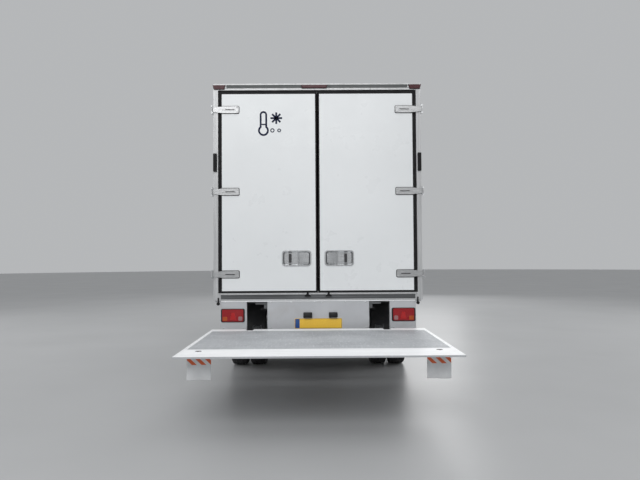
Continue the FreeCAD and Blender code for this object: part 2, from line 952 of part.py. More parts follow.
def keepers_and_markers():
    """Lock-bar keepers on the sill, and the red and amber marker lamps."""
    rear = at(0)
    keeper = block("keeper", (d.keeper_offset - d.keeper_width / 2, d.keeper_offset + d.keeper_width / 2),
                   (rear - d.keeper_proud, rear),
                   (d.sill_top - d.keeper_height, d.sill_top))
    fixed_hardware.extend([keeper, mirrored("keeper_left", keeper)])
    outer = d.body_width / 2
    low = header_bottom + d.header_groove_height / 2
    brake_low = low + d.header_groove_height
    marker = block("header_marker", (outer - d.marker_width, outer), (rear - d.marker_depth, rear),
                   (low, low + d.marker_height))
    brake = block("high_brake_lamp", (-d.brake_lamp_left, d.brake_lamp_right),
                  (rear - d.marker_depth, rear),
                  (brake_low, brake_low + d.brake_lamp_height))
    lamps = [marker, mirrored("header_marker_left", marker), brake]
    trim_outer = side_outer + d.trim_thick
    for number in range(COUNTS["side_markers"]):
        start = at(spread(d.frame_depth * 2, d.box_length - d.frame_depth * 3, number,
                          COUNTS["side_markers"]))
        lamp = block("side_marker_%d" % number, (trim_outer, trim_outer + d.side_marker_depth),
                     (start, start + d.side_marker_length),
                     (d.side_marker_level, d.side_marker_level + d.side_marker_height))
        lamps.extend([lamp, mirrored("side_marker_left_%d" % number, lamp)])
    keep("marker_lamps", gathered("marker_lamps", lamps))


def rear_apron():
    """The sheet under the sill, slotted for the lift arms, with its lamps and plate."""
    rear = at(d.apron_front)
    front = rear + d.apron_thick
    top = d.apron_top
    bottom = d.apron_bottom
    edge = d.apron_half_width
    outline = [
        (-edge, top), (-edge, bottom), (-d.slot_outer, bottom), (-d.slot_outer, d.slot_top),
        (-d.slot_inner, d.slot_top), (-d.slot_inner, bottom), (d.slot_inner, bottom),
        (d.slot_inner, d.slot_top), (d.slot_outer, d.slot_top), (d.slot_outer, bottom),
        (edge, bottom), (edge, top),
    ]
    sheet = padded("apron_sheet", "y", outline, (rear, front))
    hem = block("apron_hem", (-edge, edge), (rear, rear + d.apron_return), (top, d.sill_bottom))
    folds = [sheet, hem]
    for name, place in (("outer", edge - d.apron_thick), ("slot", d.slot_outer),
                        ("inner", d.slot_inner - d.apron_thick)):
        fold = block("apron_fold_" + name, (place, place + d.apron_thick),
                     (rear, rear + d.apron_return), (bottom, top))
        folds.extend([fold, mirrored("apron_fold_left_" + name, fold)])
    keep("rear_apron", joined("rear_apron", folds))
    low = d.lamp_height - d.lamp_tall / 2
    high = d.lamp_height + d.lamp_tall / 2
    left = d.lamp_offset - d.lamp_width / 2
    right = d.lamp_offset + d.lamp_width / 2
    outline = [(left, low), (right, low), (right, high), (left, high)]
    housing = padded("lamp_housing", "y", outline, (rear - d.lamp_proud, rear),
                     [(d.lamp_corner_radius, [0, 1, 2, 3])])
    plate = block("plate_sheet", half(d.plate_width), (rear - d.plate_thick, rear),
                  (d.plate_bottom, d.plate_bottom + d.plate_height))
    lamps = [housing, mirrored("lamp_housing_left", housing)]
    for name, middle in (("right", d.plate_lamp_shift + d.plate_lamp_offset),
                         ("left", d.plate_lamp_shift - d.plate_lamp_offset)):
        lamps.append(block("plate_lamp_" + name, half_about(middle, d.plate_lamp_width),
                           (rear - d.plate_lamp_depth, rear),
                           (d.plate_lamp_bottom, d.plate_lamp_bottom + d.plate_lamp_height)))
    keep("number_plate", plate)
    keep("rear_lamps", gathered("rear_lamps", lamps))


def refrigeration_unit():
    """The condenser housing on the front wall and the evaporator under the roof inside."""
    back = wall_front + d.trim_thick
    front = back + d.unit_depth
    top = d.body_height - d.unit_below_roof
    bottom = top - d.unit_height
    chin = bottom + d.unit_chin
    brow = top - d.unit_brow
    outline = [
        (wall_front, bottom), (front - d.unit_chin, bottom), (front, chin),
        (front, brow), (front - d.unit_brow, top), (wall_front, top),
    ]
    shell = padded("unit_shell", "x", outline, half(d.unit_width),
                   [(d.unit_corner_radius, [1, 2, 3, 4])])
    pockets = []
    slats = []
    low = (bottom + top) / 2 - d.unit_grille_height / 2
    inner = d.unit_grille_gap / 2
    outer = inner + d.unit_grille_width
    pocket = block("grille_pocket", (inner, outer), (front - d.unit_grille_depth, front + d.overrun),
                   (low, low + d.unit_grille_height))
    pockets = [pocket, mirrored("grille_pocket_left", pocket)]
    housing = cut("unit_pocketed", shell, pockets)
    count = int(d.unit_grille_height.value / d.unit_slat_pitch.value)
    for number in range(1, count):
        level = low + d.unit_slat_pitch * number
        slat = block("slat_%d" % number, (inner, outer),
                     (front - d.unit_grille_depth, front - d.unit_slat_thick),
                     (level, level + d.unit_slat_thick))
        slats.extend([slat, mirrored("slat_left_%d" % number, slat)])
    condenser = joined("condenser", [housing] + slats)
    inside = wall_front - d.front_wall
    nose = inside - d.evaporator_depth
    under = roof_bottom - d.evaporator_drop
    outline = [
        (inside, under), (inside, roof_bottom), (nose, roof_bottom),
        (nose, roof_bottom - d.evaporator_nose), (inside - d.evaporator_drop, under),
    ]
    cooler = padded("evaporator", "x", outline, half(d.evaporator_width))
    keep("refrigeration_unit", gathered("refrigeration_unit", [condenser, cooler]))


def engine():
    """Engine and gearbox as plain blocks at their real place, and the shaft to the rear axle."""
    block_part = block("engine", half(d.engine_width),
                       reach_span(d.engine_rear_reach, d.engine_front_reach),
                       (d.engine_bottom, d.engine_top))
    gear_rear = d.engine_rear_reach - d.gearbox_length
    gearbox = block("gearbox", half(d.gearbox_width), reach_span(gear_rear, d.engine_rear_reach),
                    (d.gearbox_bottom, d.gearbox_bottom + d.gearbox_height))
    keep("engine_block", joined("engine_block", [block_part, gearbox]))


def propshaft():
    """The tube and its two joints between the gearbox and the rear axle's nose."""
    gear_rear = d.engine_rear_reach - d.gearbox_length
    middle = d.gearbox_bottom + d.gearbox_height / 2
    start = Vector(0, rear_axle_y.value + d.differential_nose.value + d.axle_tube_radius.value,
                   wheel_z.value)
    end = Vector(0, (at(gear_rear) - d.swing_gap).value, middle.value)
    way = end - start
    length = way.Length
    turn = FreeCAD.Rotation(Vector(0, 0, 1), way)
    shaft = doc.addObject("Part::Cylinder", "propshaft_tube")
    bind(shaft, "Radius", d.propshaft_radius)
    shaft.Height = length
    shaft.Placement = FreeCAD.Placement(start, turn)
    parts = [shaft]
    for name, along in (("rear", 0), ("front", length - d.propshaft_joint_length.value)):
        joint = doc.addObject("Part::Cylinder", "propshaft_joint_" + name)
        bind(joint, "Radius", d.propshaft_joint_radius)
        bind(joint, "Height", d.propshaft_joint_length)
        joint.Placement = FreeCAD.Placement(start + way * (along / length), turn)
        parts.append(joint)
    return joined("propshaft", parts)


def rear_axle():
    """The driven axle: tubes, the differential's bulge and nose, and the hub spindles."""
    tube_end = twin_middle - d.disc_thick / 2 - d.brake_drum_width - d.swing_gap
    tube = bar("axle_tube", "x", d.axle_tube_radius, (-tube_end, tube_end), (rear_axle_y, wheel_z))
    spindle_end = twin_middle + d.hub_length / 2
    spindle = bar("rear_spindle", "x", d.spindle_radius, (-spindle_end, spindle_end),
                  (rear_axle_y, wheel_z))
    bulge = bar("differential", "y", d.differential_radius,
                (rear_axle_y - d.differential_length / 2, rear_axle_y + d.differential_length / 2), (0,
                                                                                                     wheel_z))
    bulge = eased("differential_round", bulge, d.axle_tube_radius, lambda edge: True)
    nose = bar("differential_nose", "y", d.differential_nose_radius,
               (rear_axle_y, rear_axle_y + d.differential_nose + d.axle_tube_radius), (0, wheel_z))
    keep("rear_axle", joined("rear_axle", [tube, spindle, bulge, nose, propshaft()]))


def front_axle():
    """A forged beam that drops between the springs, with a boss for each kingpin."""
    low = wheel_z - d.axle_beam_drop
    depth = d.axle_beam_depth
    bend = d.axle_bend_offset
    end = d.kingpin_offset
    level = d.axle_level_offset
    outline = [
        (-end, wheel_z - depth / 2), (-level, wheel_z - depth / 2), (-bend, low - depth / 2),
        (bend, low - depth / 2), (level, wheel_z - depth / 2), (end, wheel_z - depth / 2),
        (end, wheel_z + depth / 2), (level, wheel_z + depth / 2), (bend, low + depth / 2),
        (-bend, low + depth / 2), (-level, wheel_z + depth / 2), (-end, wheel_z + depth / 2),
    ]
    beam = padded("axle_beam", "y", outline,
                  (front_axle_y - d.axle_beam_width / 2, front_axle_y + d.axle_beam_width / 2))
    relief = [
        (-bend, low - depth / 2 + d.axle_beam_flange), (bend, low - depth / 2 + d.axle_beam_flange),
        (bend, low + depth / 2 - d.axle_beam_flange), (-bend, low + depth / 2 - d.axle_beam_flange),
    ]
    front_relief = padded("beam_relief_front", "y", relief,
                          (front_axle_y + d.axle_beam_web / 2, front_axle_y + d.axle_beam_width))
    rear_relief = padded("beam_relief_rear", "y", relief,
                         (front_axle_y - d.axle_beam_width, front_axle_y - d.axle_beam_web / 2))
    boss_low = wheel_z - d.kingpin_boss_height / 2
    boss_high = wheel_z + d.kingpin_boss_height / 2
    beam = cut("axle_beam_relieved", beam, [front_relief, rear_relief])
    parts = [beam]
    bores = []
    for name, x in (("right", end), ("left", -end)):
        parts.append(bar("kingpin_boss_" + name, "z", d.kingpin_boss_radius, (boss_low, boss_high),
                         (x, front_axle_y)))
        bores.append(bar("kingpin_bore_" + name, "z", d.kingpin_radius + d.seat_gap,
                         (boss_low - d.overrun, boss_high + d.overrun), (x, front_axle_y)))
    keep("front_axle_beam", cut("front_axle_beam", joined("axle_beam_bossed", parts), bores))


def knuckles():
    """Forked steering knuckles: a kingpin through the beam's boss, and a wheel spindle."""
    x = d.kingpin_offset
    boss_low = wheel_z - d.kingpin_boss_height / 2
    boss_high = wheel_z + d.kingpin_boss_height / 2
    gap = d.swing_gap
    lug = d.knuckle_lug_height
    pin = bar("kingpin", "z", d.kingpin_radius, (boss_low - gap - lug, boss_high + gap + lug),
              (x, front_axle_y))
    lugs = []
    flange_x = x + d.kingpin_boss_radius + gap * 2
    for name, low in (("lower", boss_low - gap - lug), ("upper", boss_high + gap)):
        round_lug = bar("lug_" + name, "z", d.kingpin_boss_radius, (low, low + lug), (x, front_axle_y))
        arm = block("lug_arm_" + name, (x, flange_x + d.knuckle_flange_thick / 2),
                    (front_axle_y - d.kingpin_boss_radius, front_axle_y + d.kingpin_boss_radius),
                    (low, low + lug))
        lugs.extend([round_lug, arm])
    flange = bar("knuckle_flange", "x", d.knuckle_flange_radius,
                 (flange_x, flange_x + d.knuckle_flange_thick),
                 (front_axle_y, wheel_z))
    spindle_end = front_disc_x + d.hub_length / 3
    spindle = bar("front_spindle", "x", d.spindle_radius, (flange_x, spindle_end),
                  (front_axle_y, wheel_z))
    steer_arm = block("steering_arm", (x - d.kingpin_boss_radius / 2, x + d.kingpin_boss_radius / 2),
                      (front_axle_y - d.knuckle_flange_radius * 2, front_axle_y),
                      (boss_low - gap - lug, boss_low - gap))
    right = joined("knuckle_right", [pin] + lugs + [flange, spindle, steer_arm])
    keep("knuckle_right", right)
    keep("knuckle_left", mirrored("knuckle_left", right))


twin_middle = d.twin_outer_width / 2 - d.tyre_width / 2 - d.twin_spacing / 2
rear_outer_x = twin_middle + d.twin_spacing / 2
rear_inner_x = twin_middle - d.twin_spacing / 2
front_wheel_x = d.front_track / 2
front_disc_x = front_wheel_x + d.disc_offset


def tyre(name, x, y):
    """One tyre turned from its section: beads, bulging sidewalls, shoulders and crown."""
    bead = d.rim_half_width - d.rim_flange_thick
    seat = d.rim_seat_radius
    lip = d.rim_flange_radius
    bulge = d.tyre_width / 2
    tread = d.tyre_tread_width / 2
    shoulder = bulge * TYRE_SHOULDER_SHARE
    mid_radius = (lip + d.tyre_bulge_radius) / 2
    outline = [
        (-bead, lip), (-bead, seat), (bead, seat), (bead, lip), (bulge * TYRE_FLANK_SHARE, mid_radius),
        (bulge, d.tyre_bulge_radius), (shoulder, d.tyre_shoulder_radius),
        (tread, d.tyre_radius - d.tyre_crown_drop), (tread / 2, d.tyre_radius), (-tread / 2,
                                                                                 d.tyre_radius),
        (-tread, d.tyre_radius - d.tyre_crown_drop), (-shoulder, d.tyre_shoulder_radius),
        (-bulge, d.tyre_bulge_radius), (-bulge * TYRE_FLANK_SHARE, mid_radius),
    ]
    return turned(name, outline, (x, y, wheel_z))


def rim(name, x, y, away):
    """A pressed wheel: barrel, flanges and a dished disc, whose dish faces away (+1 or -1)."""
    edge = d.rim_half_width
    lip = d.rim_flange_thick
    seat = d.rim_seat_radius
    inside = seat - d.rim_wall
    face = d.disc_offset - d.disc_thick / 2
    back = d.disc_offset + d.disc_thick / 2
    cone = d.disc_thick * 3
    section = [
        (-edge, d.rim_flange_radius), (-edge + lip, d.rim_flange_radius), (-edge + lip, seat),
        (edge - lip, seat), (edge - lip, d.rim_flange_radius), (edge, d.rim_flange_radius),
        (edge, inside), (-edge + cone, inside), (-face, d.disc_rim_radius),
        (-face, d.hub_radius), (-back, d.hub_radius), (-back, d.disc_rim_radius + d.disc_thick / 2),
        (-edge + cone / 2, inside), (-edge, inside),
    ]
    outline = [(across * away, radius) for across, radius in section]
    return turned(name, outline, (x, y, wheel_z))


def wheel_nuts(name, start, end, y):
    """A ring of wheel nuts that stands on the disc."""
    solids = []
    for number in range(COUNTS["wheel_nuts"]):
        angle = 2 * math.pi * number / COUNTS["wheel_nuts"]
        place_y = y + d.wheel_nut_circle * math.cos(angle)
        place_z = wheel_z + d.wheel_nut_circle * math.sin(angle)
        solids.append(bar("%s_%d" % (name, number), "x", d.wheel_nut_radius, (start, end),
                          (place_y, place_z)))
    return solids


def front_wheels():
    """Single front wheels: the disc stands outward over the hub."""
    y = front_axle_y
    keep("tyre_front_right", tyre("tyre_front_right", front_wheel_x, y))
    pressed = rim("front_rim", front_wheel_x, y, -1)
    hub_start = d.kingpin_offset + d.kingpin_boss_radius + d.swing_gap * 3 + d.knuckle_flange_thick
    hub_end = front_disc_x + d.hub_length / 3 + d.overrun
    hub = bar("front_hub", "x", d.hub_radius, (hub_start, hub_end), (y, wheel_z))
    drum = bar("front_drum", "x", d.brake_drum_radius, (hub_start, front_disc_x - d.disc_thick / 2),
               (y, wheel_z))
    cap = bar("front_hub_cap", "x", d.hub_cap_radius, (hub_end, hub_end + d.hub_cap_length / 2),
              (y, wheel_z))
    nuts = wheel_nuts("front_nut", front_disc_x, front_disc_x + d.disc_thick / 2 + d.wheel_nut_length, y)
    bore = bar("front_hub_bore", "x", d.spindle_radius + d.seat_gap,
               (hub_start - d.overrun, front_disc_x + d.hub_length / 3 + d.swing_gap), (y, wheel_z))
    solid = joined("front_rim_whole", [pressed, hub, drum, cap] + nuts)
    right = cut("rim_front_right", solid, [bore])
    keep("rim_front_right", right)
    keep("tyre_front_left", mirrored("tyre_front_left", doc.getObject("tyre_front_right")))
    keep("rim_front_left", mirrored("rim_front_left", right))


def rear_wheels():
    """Twin rear wheels: two dished discs back to back on one hub."""
    y = rear_axle_y
    tyres = [tyre("tyre_rear_outer", rear_outer_x, y), tyre("tyre_rear_inner", rear_inner_x, y)]
    right = gathered("tyres_rear_right", tyres)
    keep("tyres_rear_right", right)
    keep("tyres_rear_left", mirrored("tyres_rear_left", right))
    outer = rim("rear_rim_outer", rear_outer_x, y, 1)
    inner = rim("rear_rim_inner", rear_inner_x, y, -1)
    drum_start = twin_middle - d.disc_thick / 2 - d.brake_drum_width
    hub_end = twin_middle + d.hub_length / 2 + d.overrun * 2
    hub = bar("rear_hub", "x", d.hub_radius, (drum_start, hub_end), (y, wheel_z))
    drum = bar("rear_drum", "x", d.brake_drum_radius, (drum_start, twin_middle), (y, wheel_z))
    cap = bar("rear_hub_cap", "x", d.hub_cap_radius, (hub_end, hub_end + d.hub_cap_length), (y, wheel_z))
    nuts = wheel_nuts("rear_nut", twin_middle, twin_middle + d.disc_thick + d.wheel_nut_length, y)
    bore = bar("rear_hub_bore", "x", d.spindle_radius + d.seat_gap,
               (drum_start - d.overrun, twin_middle + d.hub_length / 2 + d.swing_gap), (y, wheel_z))
    solid = joined("rear_rim_whole", [outer, inner, hub, drum, cap] + nuts)
    right = cut("rims_rear_right", solid, [bore])
    keep("rims_rear_right", right)
    keep("rims_rear_left", mirrored("rims_rear_left", right))


def curved_leaf(name, x, y, half_length, radius, level):
    """One spring leaf: a stretch of a large ring whose lowest point lies at a level."""
    centre = level + radius
    ring = bar(name + "_ring", "x", radius, half_about(x, d.spring_width), (y, centre))
    hollow = bar(name + "_hollow", "x", radius - d.spring_leaf,
                 half_about(x, d.spring_width + d.overrun * 2), (y, centre))
    window = block(name + "_window", half_about(x, d.spring_width), (y - half_length, y + half_length),
                   (level - d.overrun, level + d.spring_half_length))
    return common(name, cut(name + "_hoop", ring, [hollow]), window)


def half_about(middle, width):
    return (middle - width / 2, middle + width / 2)


def leaf_springs():
    """Leaf packs over both axles, hung from the rails at their eyes."""
    solids = []
    x = rail_outer - d.rail_flange / 2
    radius = d.spring_half_length * d.spring_half_length / (d.spring_rise * 2) + d.spring_rise / 2
    for name, y, base in (("rear", rear_axle_y, wheel_z + d.axle_tube_radius),
                          ("front", front_axle_y, wheel_z - d.axle_beam_drop + d.axle_beam_depth / 2)):
        leaves = []
        top = base + d.spring_leaf * (COUNTS["spring_leaves"] - 1)
        for number in range(COUNTS["spring_leaves"]):
            drop = d.spring_leaf * number
            half_length = d.spring_half_length - d.spring_step * number
            leaves.append(curved_leaf("leaf_%s_%d" % (name, number), x, y, half_length, radius + drop,
                                      top - drop))
        for side, way in (("ahead", 1), ("behind", -1)):
            eye_y = y + d.spring_half_length * way
            eye_z = top + d.spring_rise + d.spring_leaf / 2
            leaves.append(bar("eye_%s_%s" % (name, side), "x", d.spring_eye_radius,
                              half_about(x, d.spring_width), (eye_y, eye_z)))
            leaves.append(block("hanger_%s_%s" % (name, side), half_about(x, d.spring_hanger_thick * 2),
                                half_about(eye_y, d.spring_eye_radius * 2), (eye_z, d.rail_bottom)))
        pack = joined("spring_pack_" + name, leaves)
        solids.extend([pack, mirrored("spring_pack_left_" + name, pack)])
    keep("leaf_springs", gathered("leaf_springs", solids))


def chassis_side_units():
    """Fuel tank on the left, battery box and air tank on the right, and the silencer."""
    silencer_reach = d.rear_axle_reach + d.silencer_ahead_of_axle
    tank_reach = silencer_reach + d.silencer_length + d.tank_gap
    air_tank_reach = d.rear_axle_reach + d.air_tank_ahead_of_axle
    battery_reach = air_tank_reach + d.air_tank_length + d.battery_gap
    low = d.tank_bottom
    high = low + d.tank_height
    outline = [(-d.tank_outer, low), (-d.tank_inner, low), (-d.tank_inner, high), (-d.tank_outer, high)]
    tank = padded("tank_shell", "y", outline, reach_span(tank_reach, tank_reach + d.tank_length),
                  [(d.tank_corner_radius, [0, 1, 2, 3])])
    parts = [tank]
    for number, along_share in enumerate(TANK_BAND_SHARES):
        start = at(tank_reach + d.tank_length * along_share)
        arm = block("tank_arm_%d" % number, (-d.tank_inner, -rail_outer),
                    half_about(start, d.tank_band_width), (low + d.tank_corner_radius,
                                                           rail_top - d.rail_web))
        parts.append(arm)
    keep("fuel_tank", joined("fuel_tank", parts))
    battery = block("battery_case", (d.tank_inner, d.tank_outer),
                    reach_span(battery_reach, battery_reach + d.battery_length),
                    (d.battery_bottom, d.battery_bottom + d.battery_height))
    battery = eased("battery_round", battery, d.swing_gap * 2, lambda edge: True)
    mount = block("battery_arm", (rail_outer, d.tank_inner + d.overrun),
                  half_about(at(battery_reach + d.battery_length / 2), d.tank_band_width * 4),
                  (d.battery_bottom + d.tank_corner_radius, rail_top - d.rail_web))
    battery = joined("battery_box", [battery, mount])
    start = at(air_tank_reach)
    shell = bar("air_shell", "y", d.air_tank_radius, (start, start + d.air_tank_length),
                (d.air_tank_offset, d.air_tank_height))
    shell = eased("air_round", shell, d.air_tank_radius / 3, lambda edge: True)
    strap = block("air_arm", (rail_outer, d.air_tank_offset),
                  half_about(start + d.air_tank_length / 2, d.tank_band_width),
                  half_about(d.air_tank_height + d.tank_band_width, d.tank_band_width * 2))
    keep("battery_and_air_tank", gathered("battery_and_air_tank", [battery, joined("air_tank",
                                                                                   [shell, strap])]))
    start = at(silencer_reach)
    can = bar("silencer_can", "y", d.silencer_radius, (start, start + d.silencer_length),
              (-d.silencer_offset, d.silencer_height))
    can = eased("silencer_round", can, d.exhaust_pipe_radius, lambda edge: True)
    arm = block("silencer_arm", (-d.silencer_offset, -rail_outer),
                half_about(start + d.silencer_length / 2, d.tank_band_width),
                half_about(d.silencer_height + d.tank_band_width * 2, d.tank_band_width))
    pipe = bar("exhaust_pipe", "y", d.exhaust_pipe_radius,
               (start - d.silencer_length / 2, start + d.overrun),
               (-d.silencer_offset, d.silencer_height))
    keep("exhaust_silencer", joined("exhaust_silencer", [can, arm, pipe]))


def curved_guard(name, y, radius, x, low, rear_side, front_side):
    """A mudguard: part of a thin hoop about the axle, above a level."""
    outer = bar(name + "_outer", "x", radius + d.mudguard_thick, x, (y, wheel_z))
    inner = bar(name + "_inner", "x", radius, (x[0] - d.overrun, x[1] + d.overrun), (y, wheel_z))
    window = block(name + "_window", x, (rear_side, front_side), (low, wheel_z + radius * 2))
    return common(name, cut(name + "_hoop", outer, [inner]), window)


def mudguards():
    """Hoops over the rear twins and behind the front wheels, with their carrying arms."""
    radius = d.tyre_radius + d.mudguard_gap
    x = (twin_middle - d.twin_spacing / 2 - d.tyre_width / 2, d.twin_outer_width / 2 + d.mudguard_gap / 3)
    guard = curved_guard("rear_guard", rear_axle_y, radius, x, wheel_z + d.hub_radius,
                         rear_axle_y - radius * 2, rear_axle_y + radius * 2)
    arms = []
    for number, way in enumerate((-1, 1)):
        place = rear_axle_y + radius * REAR_GUARD_ARM_SHARES[0] * way
        level = wheel_z + radius * REAR_GUARD_ARM_SHARES[1]
        arms.append(block("rear_guard_arm_%d" % number, (rail_outer, x[0] + d.guard_post_width),
                          half_about(place, d.mudguard_gap), (level - d.mudguard_gap / 4,
                                                              level + d.mudguard_gap / 2)))
    rear = joined("rear_mudguard", [guard] + arms)
    front_radius = d.wheel_arch_radius - d.swing_gap * 2
    x = (d.front_mudguard_inner, d.cab_width / 2)
    guard = curved_guard("front_guard", front_axle_y, front_radius, x, wheel_z - d.hub_radius * 2,
                         front_axle_y - front_radius * 2, front_axle_y - front_radius * FRONT_GUARD_LEVEL_SHARE)
    skin = front_axle_y - front_radius - d.mudguard_thick / 2
    arm_y_span = (skin - d.guard_rail_thick, skin)
    level = half_about(wheel_z, d.mudguard_gap)
    arm = block("front_guard_arm", (rail_outer, x[0] + d.guard_post_width), arm_y_span, level)
    post = block("front_guard_post", (rail_outer, rail_outer + d.guard_rail_thick), arm_y_span,
                 (level[0], d.rail_bottom + d.rail_flange))
    front = joined("front_mudguard", [guard, arm, post])
    keep("mudguards", both("mudguards", gathered("mudguards_right", [rear, front])))


def side_guards():
    """Two rails along each side between the wheels, on posts hung from the rails."""
    rails = []
    y = reach_span(d.guard_rear_reach, d.guard_front_reach)
    for name, low in (("low", d.guard_low_height), ("high", d.guard_high_height)):
        rails.append(block("guard_rail_" + name, (d.guard_outer - d.guard_rail_thick, d.guard_outer), y,
                           (low, low + d.guard_rail_height)))
    for number in range(COUNTS["guard_posts"]):
        bearer = COUNTS["guard_first_bearer"] + 2 * number
        place = at(d.bearer_first_reach + d.bearer_spacing * bearer + d.bearer_width / 2)
        rails.append(block("guard_post_%d" % number,
                           (d.guard_outer - d.guard_rail_thick * 2, d.guard_outer - d.guard_rail_thick),
                           half_about(place, d.guard_post_width), (d.guard_low_height,
                                                                   d.floor_bottom - d.bearer_depth)))
    side = joined("side_guard", rails)
    keep("side_guards", both("side_guards", side))


# The tail lift's points as it stands in the photograph: y and z of each pin.
tube_reach = d.rear_axle_reach - d.tube_behind_axle
pivot_reach = tube_reach - d.pivot_behind_tube
arm_y = at(pivot_reach)
arm_z = d.arm_pivot_height
arm_run = pivot_reach + d.tip_behind_doors
tip_y = arm_y - arm_run
tip_z = arm_z + d.arm_rise
elbow_y = tip_y + d.elbow_to_tip
elbow_z = arm_z - d.elbow_drop
tilt_root_y = arm_y + d.tilt_root_run
tilt_root_z = arm_z - d.tilt_root_drop
tilt_eye_y = tip_y + d.tilt_root_run
tilt_eye_z = tip_z - d.tilt_root_drop
lift_root_y = arm_y + d.lift_root_run
lift_root_z = arm_z - d.lift_root_drop
lift_eye_y = arm_y - d.lift_eye_run
lift_eye_z = arm_z - d.lift_eye_drop
arm_x = (d.arm_inner, d.arm_outer)
arm_middle = (d.arm_inner + d.arm_outer) / 2


def tail_lift_frame():
    """A cross tube hung from the rails, with plates that carry the arms and cylinders."""
    size = d.cross_tube_size
    tube_y = half_about(at(tube_reach), size)
    tube_z = half_about(d.cross_tube_height, size)
    outer = block("cross_tube", (-d.cross_tube_half, d.cross_tube_half), tube_y, tube_z)
    wall = d.bracket_thick
    bore = block("cross_tube_bore", (-d.cross_tube_half - d.overrun, d.cross_tube_half + d.overrun),
                 (tube_y[0] + wall, tube_y[1] - wall), (tube_z[0] + wall, tube_z[1] - wall))
    parts = [cut("cross_tube_hollow", outer, [bore])]
    gap = d.swing_gap
    boss = d.arm_boss_radius + d.swing_gap
    back = tube_y[0]
    arm_plate = [
        (back, tube_z[0]), (lift_root_y - boss, lift_root_z), (lift_root_y, lift_root_z - boss),
        (tube_y[1], tube_z[0] - boss), (tube_y[1], tube_z[1]), (arm_y + boss, arm_z + boss),
        (arm_y - boss, arm_z + boss), (arm_y - boss, arm_z - boss),
    ]
    for name, start in (("inner", d.arm_inner - gap - wall), ("outer", d.arm_outer + gap)):
        plate = padded("arm_plate_" + name, "x", arm_plate, (start, start + wall))
        parts.extend([plate, mirrored("arm_plate_left_" + name, plate)])
    pins = (d.arm_inner - gap - wall, d.arm_outer + gap + wall)
    for name, radius, place in (("arm", d.arm_pin_radius, (arm_y, arm_z)),
                                ("lift", d.eye_pin_radius, (lift_root_y, lift_root_z))):
        pin = bar(name + "_pin", "x", radius, pins, place)
        parts.extend([pin, mirrored(name + "_pin_left", pin)])
    tilt_plate = [
        (back, tube_z[0]), (tube_y[0], tube_z[1]), (tilt_root_y + d.eye_radius,
                                                    tilt_root_z + d.eye_radius),
        (tilt_root_y - d.eye_radius, tilt_root_z + d.eye_radius),
        (tilt_root_y - d.eye_radius, tilt_root_z - d.eye_radius),
    ]
    ears = half_about(d.tilt_offset, d.ear_gap)
    for name, start in (("inner", ears[0] - d.ear_thick), ("outer", ears[1])):
        plate = padded("tilt_plate_" + name, "x", tilt_plate, (start, start + d.ear_thick))
        parts.extend([plate, mirrored("tilt_plate_left_" + name, plate)])
    pin = bar("tilt_pin", "x", d.eye_pin_radius, (ears[0] - d.ear_thick, ears[1] + d.ear_thick),
              (tilt_root_y, tilt_root_z))
    parts.extend([pin, mirrored("tilt_pin_left", pin)])
    hanger = block("hanger", (rail_outer, rail_outer + d.hanger_thick),
                   reach_span(tube_reach - d.hanger_behind_tube,
                              tube_reach + d.hanger_ahead_of_tube), (tube_z[0], rail_top - d.rail_web))
    parts.extend([hanger, mirrored("hanger_left", hanger)])
    keep("tail_lift_frame", joined("tail_lift_frame", parts))


def lift_arms():
    """Two cranked arms with bosses at the pivot, at the platform's pin and under the elbow."""
    deep = d.arm_depth / 2
    tip = d.arm_tip_depth / 2
    outline = [
        (arm_y, arm_z + d.arm_boss_radius), (elbow_y, elbow_z + deep), (tip_y, tip_z + tip),
        (tip_y - tip, tip_z), (tip_y, tip_z - tip), (elbow_y, elbow_z - deep),
        (arm_y, arm_z - d.arm_boss_radius),
    ]
    blade = padded("arm_blade", "x", outline, arm_x)
    boss = bar("arm_boss", "x", d.arm_boss_radius, arm_x, (arm_y, arm_z))
    ears = half_about(arm_middle, d.lift_ear_gap)
    lug = [
        (lift_eye_y - deep, lift_eye_z + deep), (lift_eye_y - d.eye_radius, lift_eye_z - d.eye_radius),
        (lift_eye_y + d.eye_radius, lift_eye_z - d.eye_radius), (lift_eye_y + deep, lift_eye_z + deep),
    ]
    lugs = []
    for name, start in (("inner", arm_x[0]), ("outer", ears[1])):
        end = ears[0] if name == "inner" else arm_x[1]
        lugs.append(padded("lift_lug_" + name, "x", lug, (start, end)))
    arm = joined("arm_bossed", [blade, boss] + lugs)
    past = (arm_x[0] - d.overrun, arm_x[1] + d.overrun)
    bores = [
        bar("arm_bore", "x", d.arm_pin_radius + d.seat_gap, past, (arm_y, arm_z)),
        bar("arm_tip_bore", "x", d.tip_pin_radius + d.seat_gap, past, (tip_y, tip_z)),
        block("arm_eye_slot", ears, half_about(lift_eye_y, d.arm_depth * 2),
              (lift_eye_z - d.arm_depth, lift_eye_z + d.eye_radius + d.lift_slot_clearance)),
    ]
    right = cut("arm_right", arm, bores)
    keep("lift_arms", both("lift_arms", right))


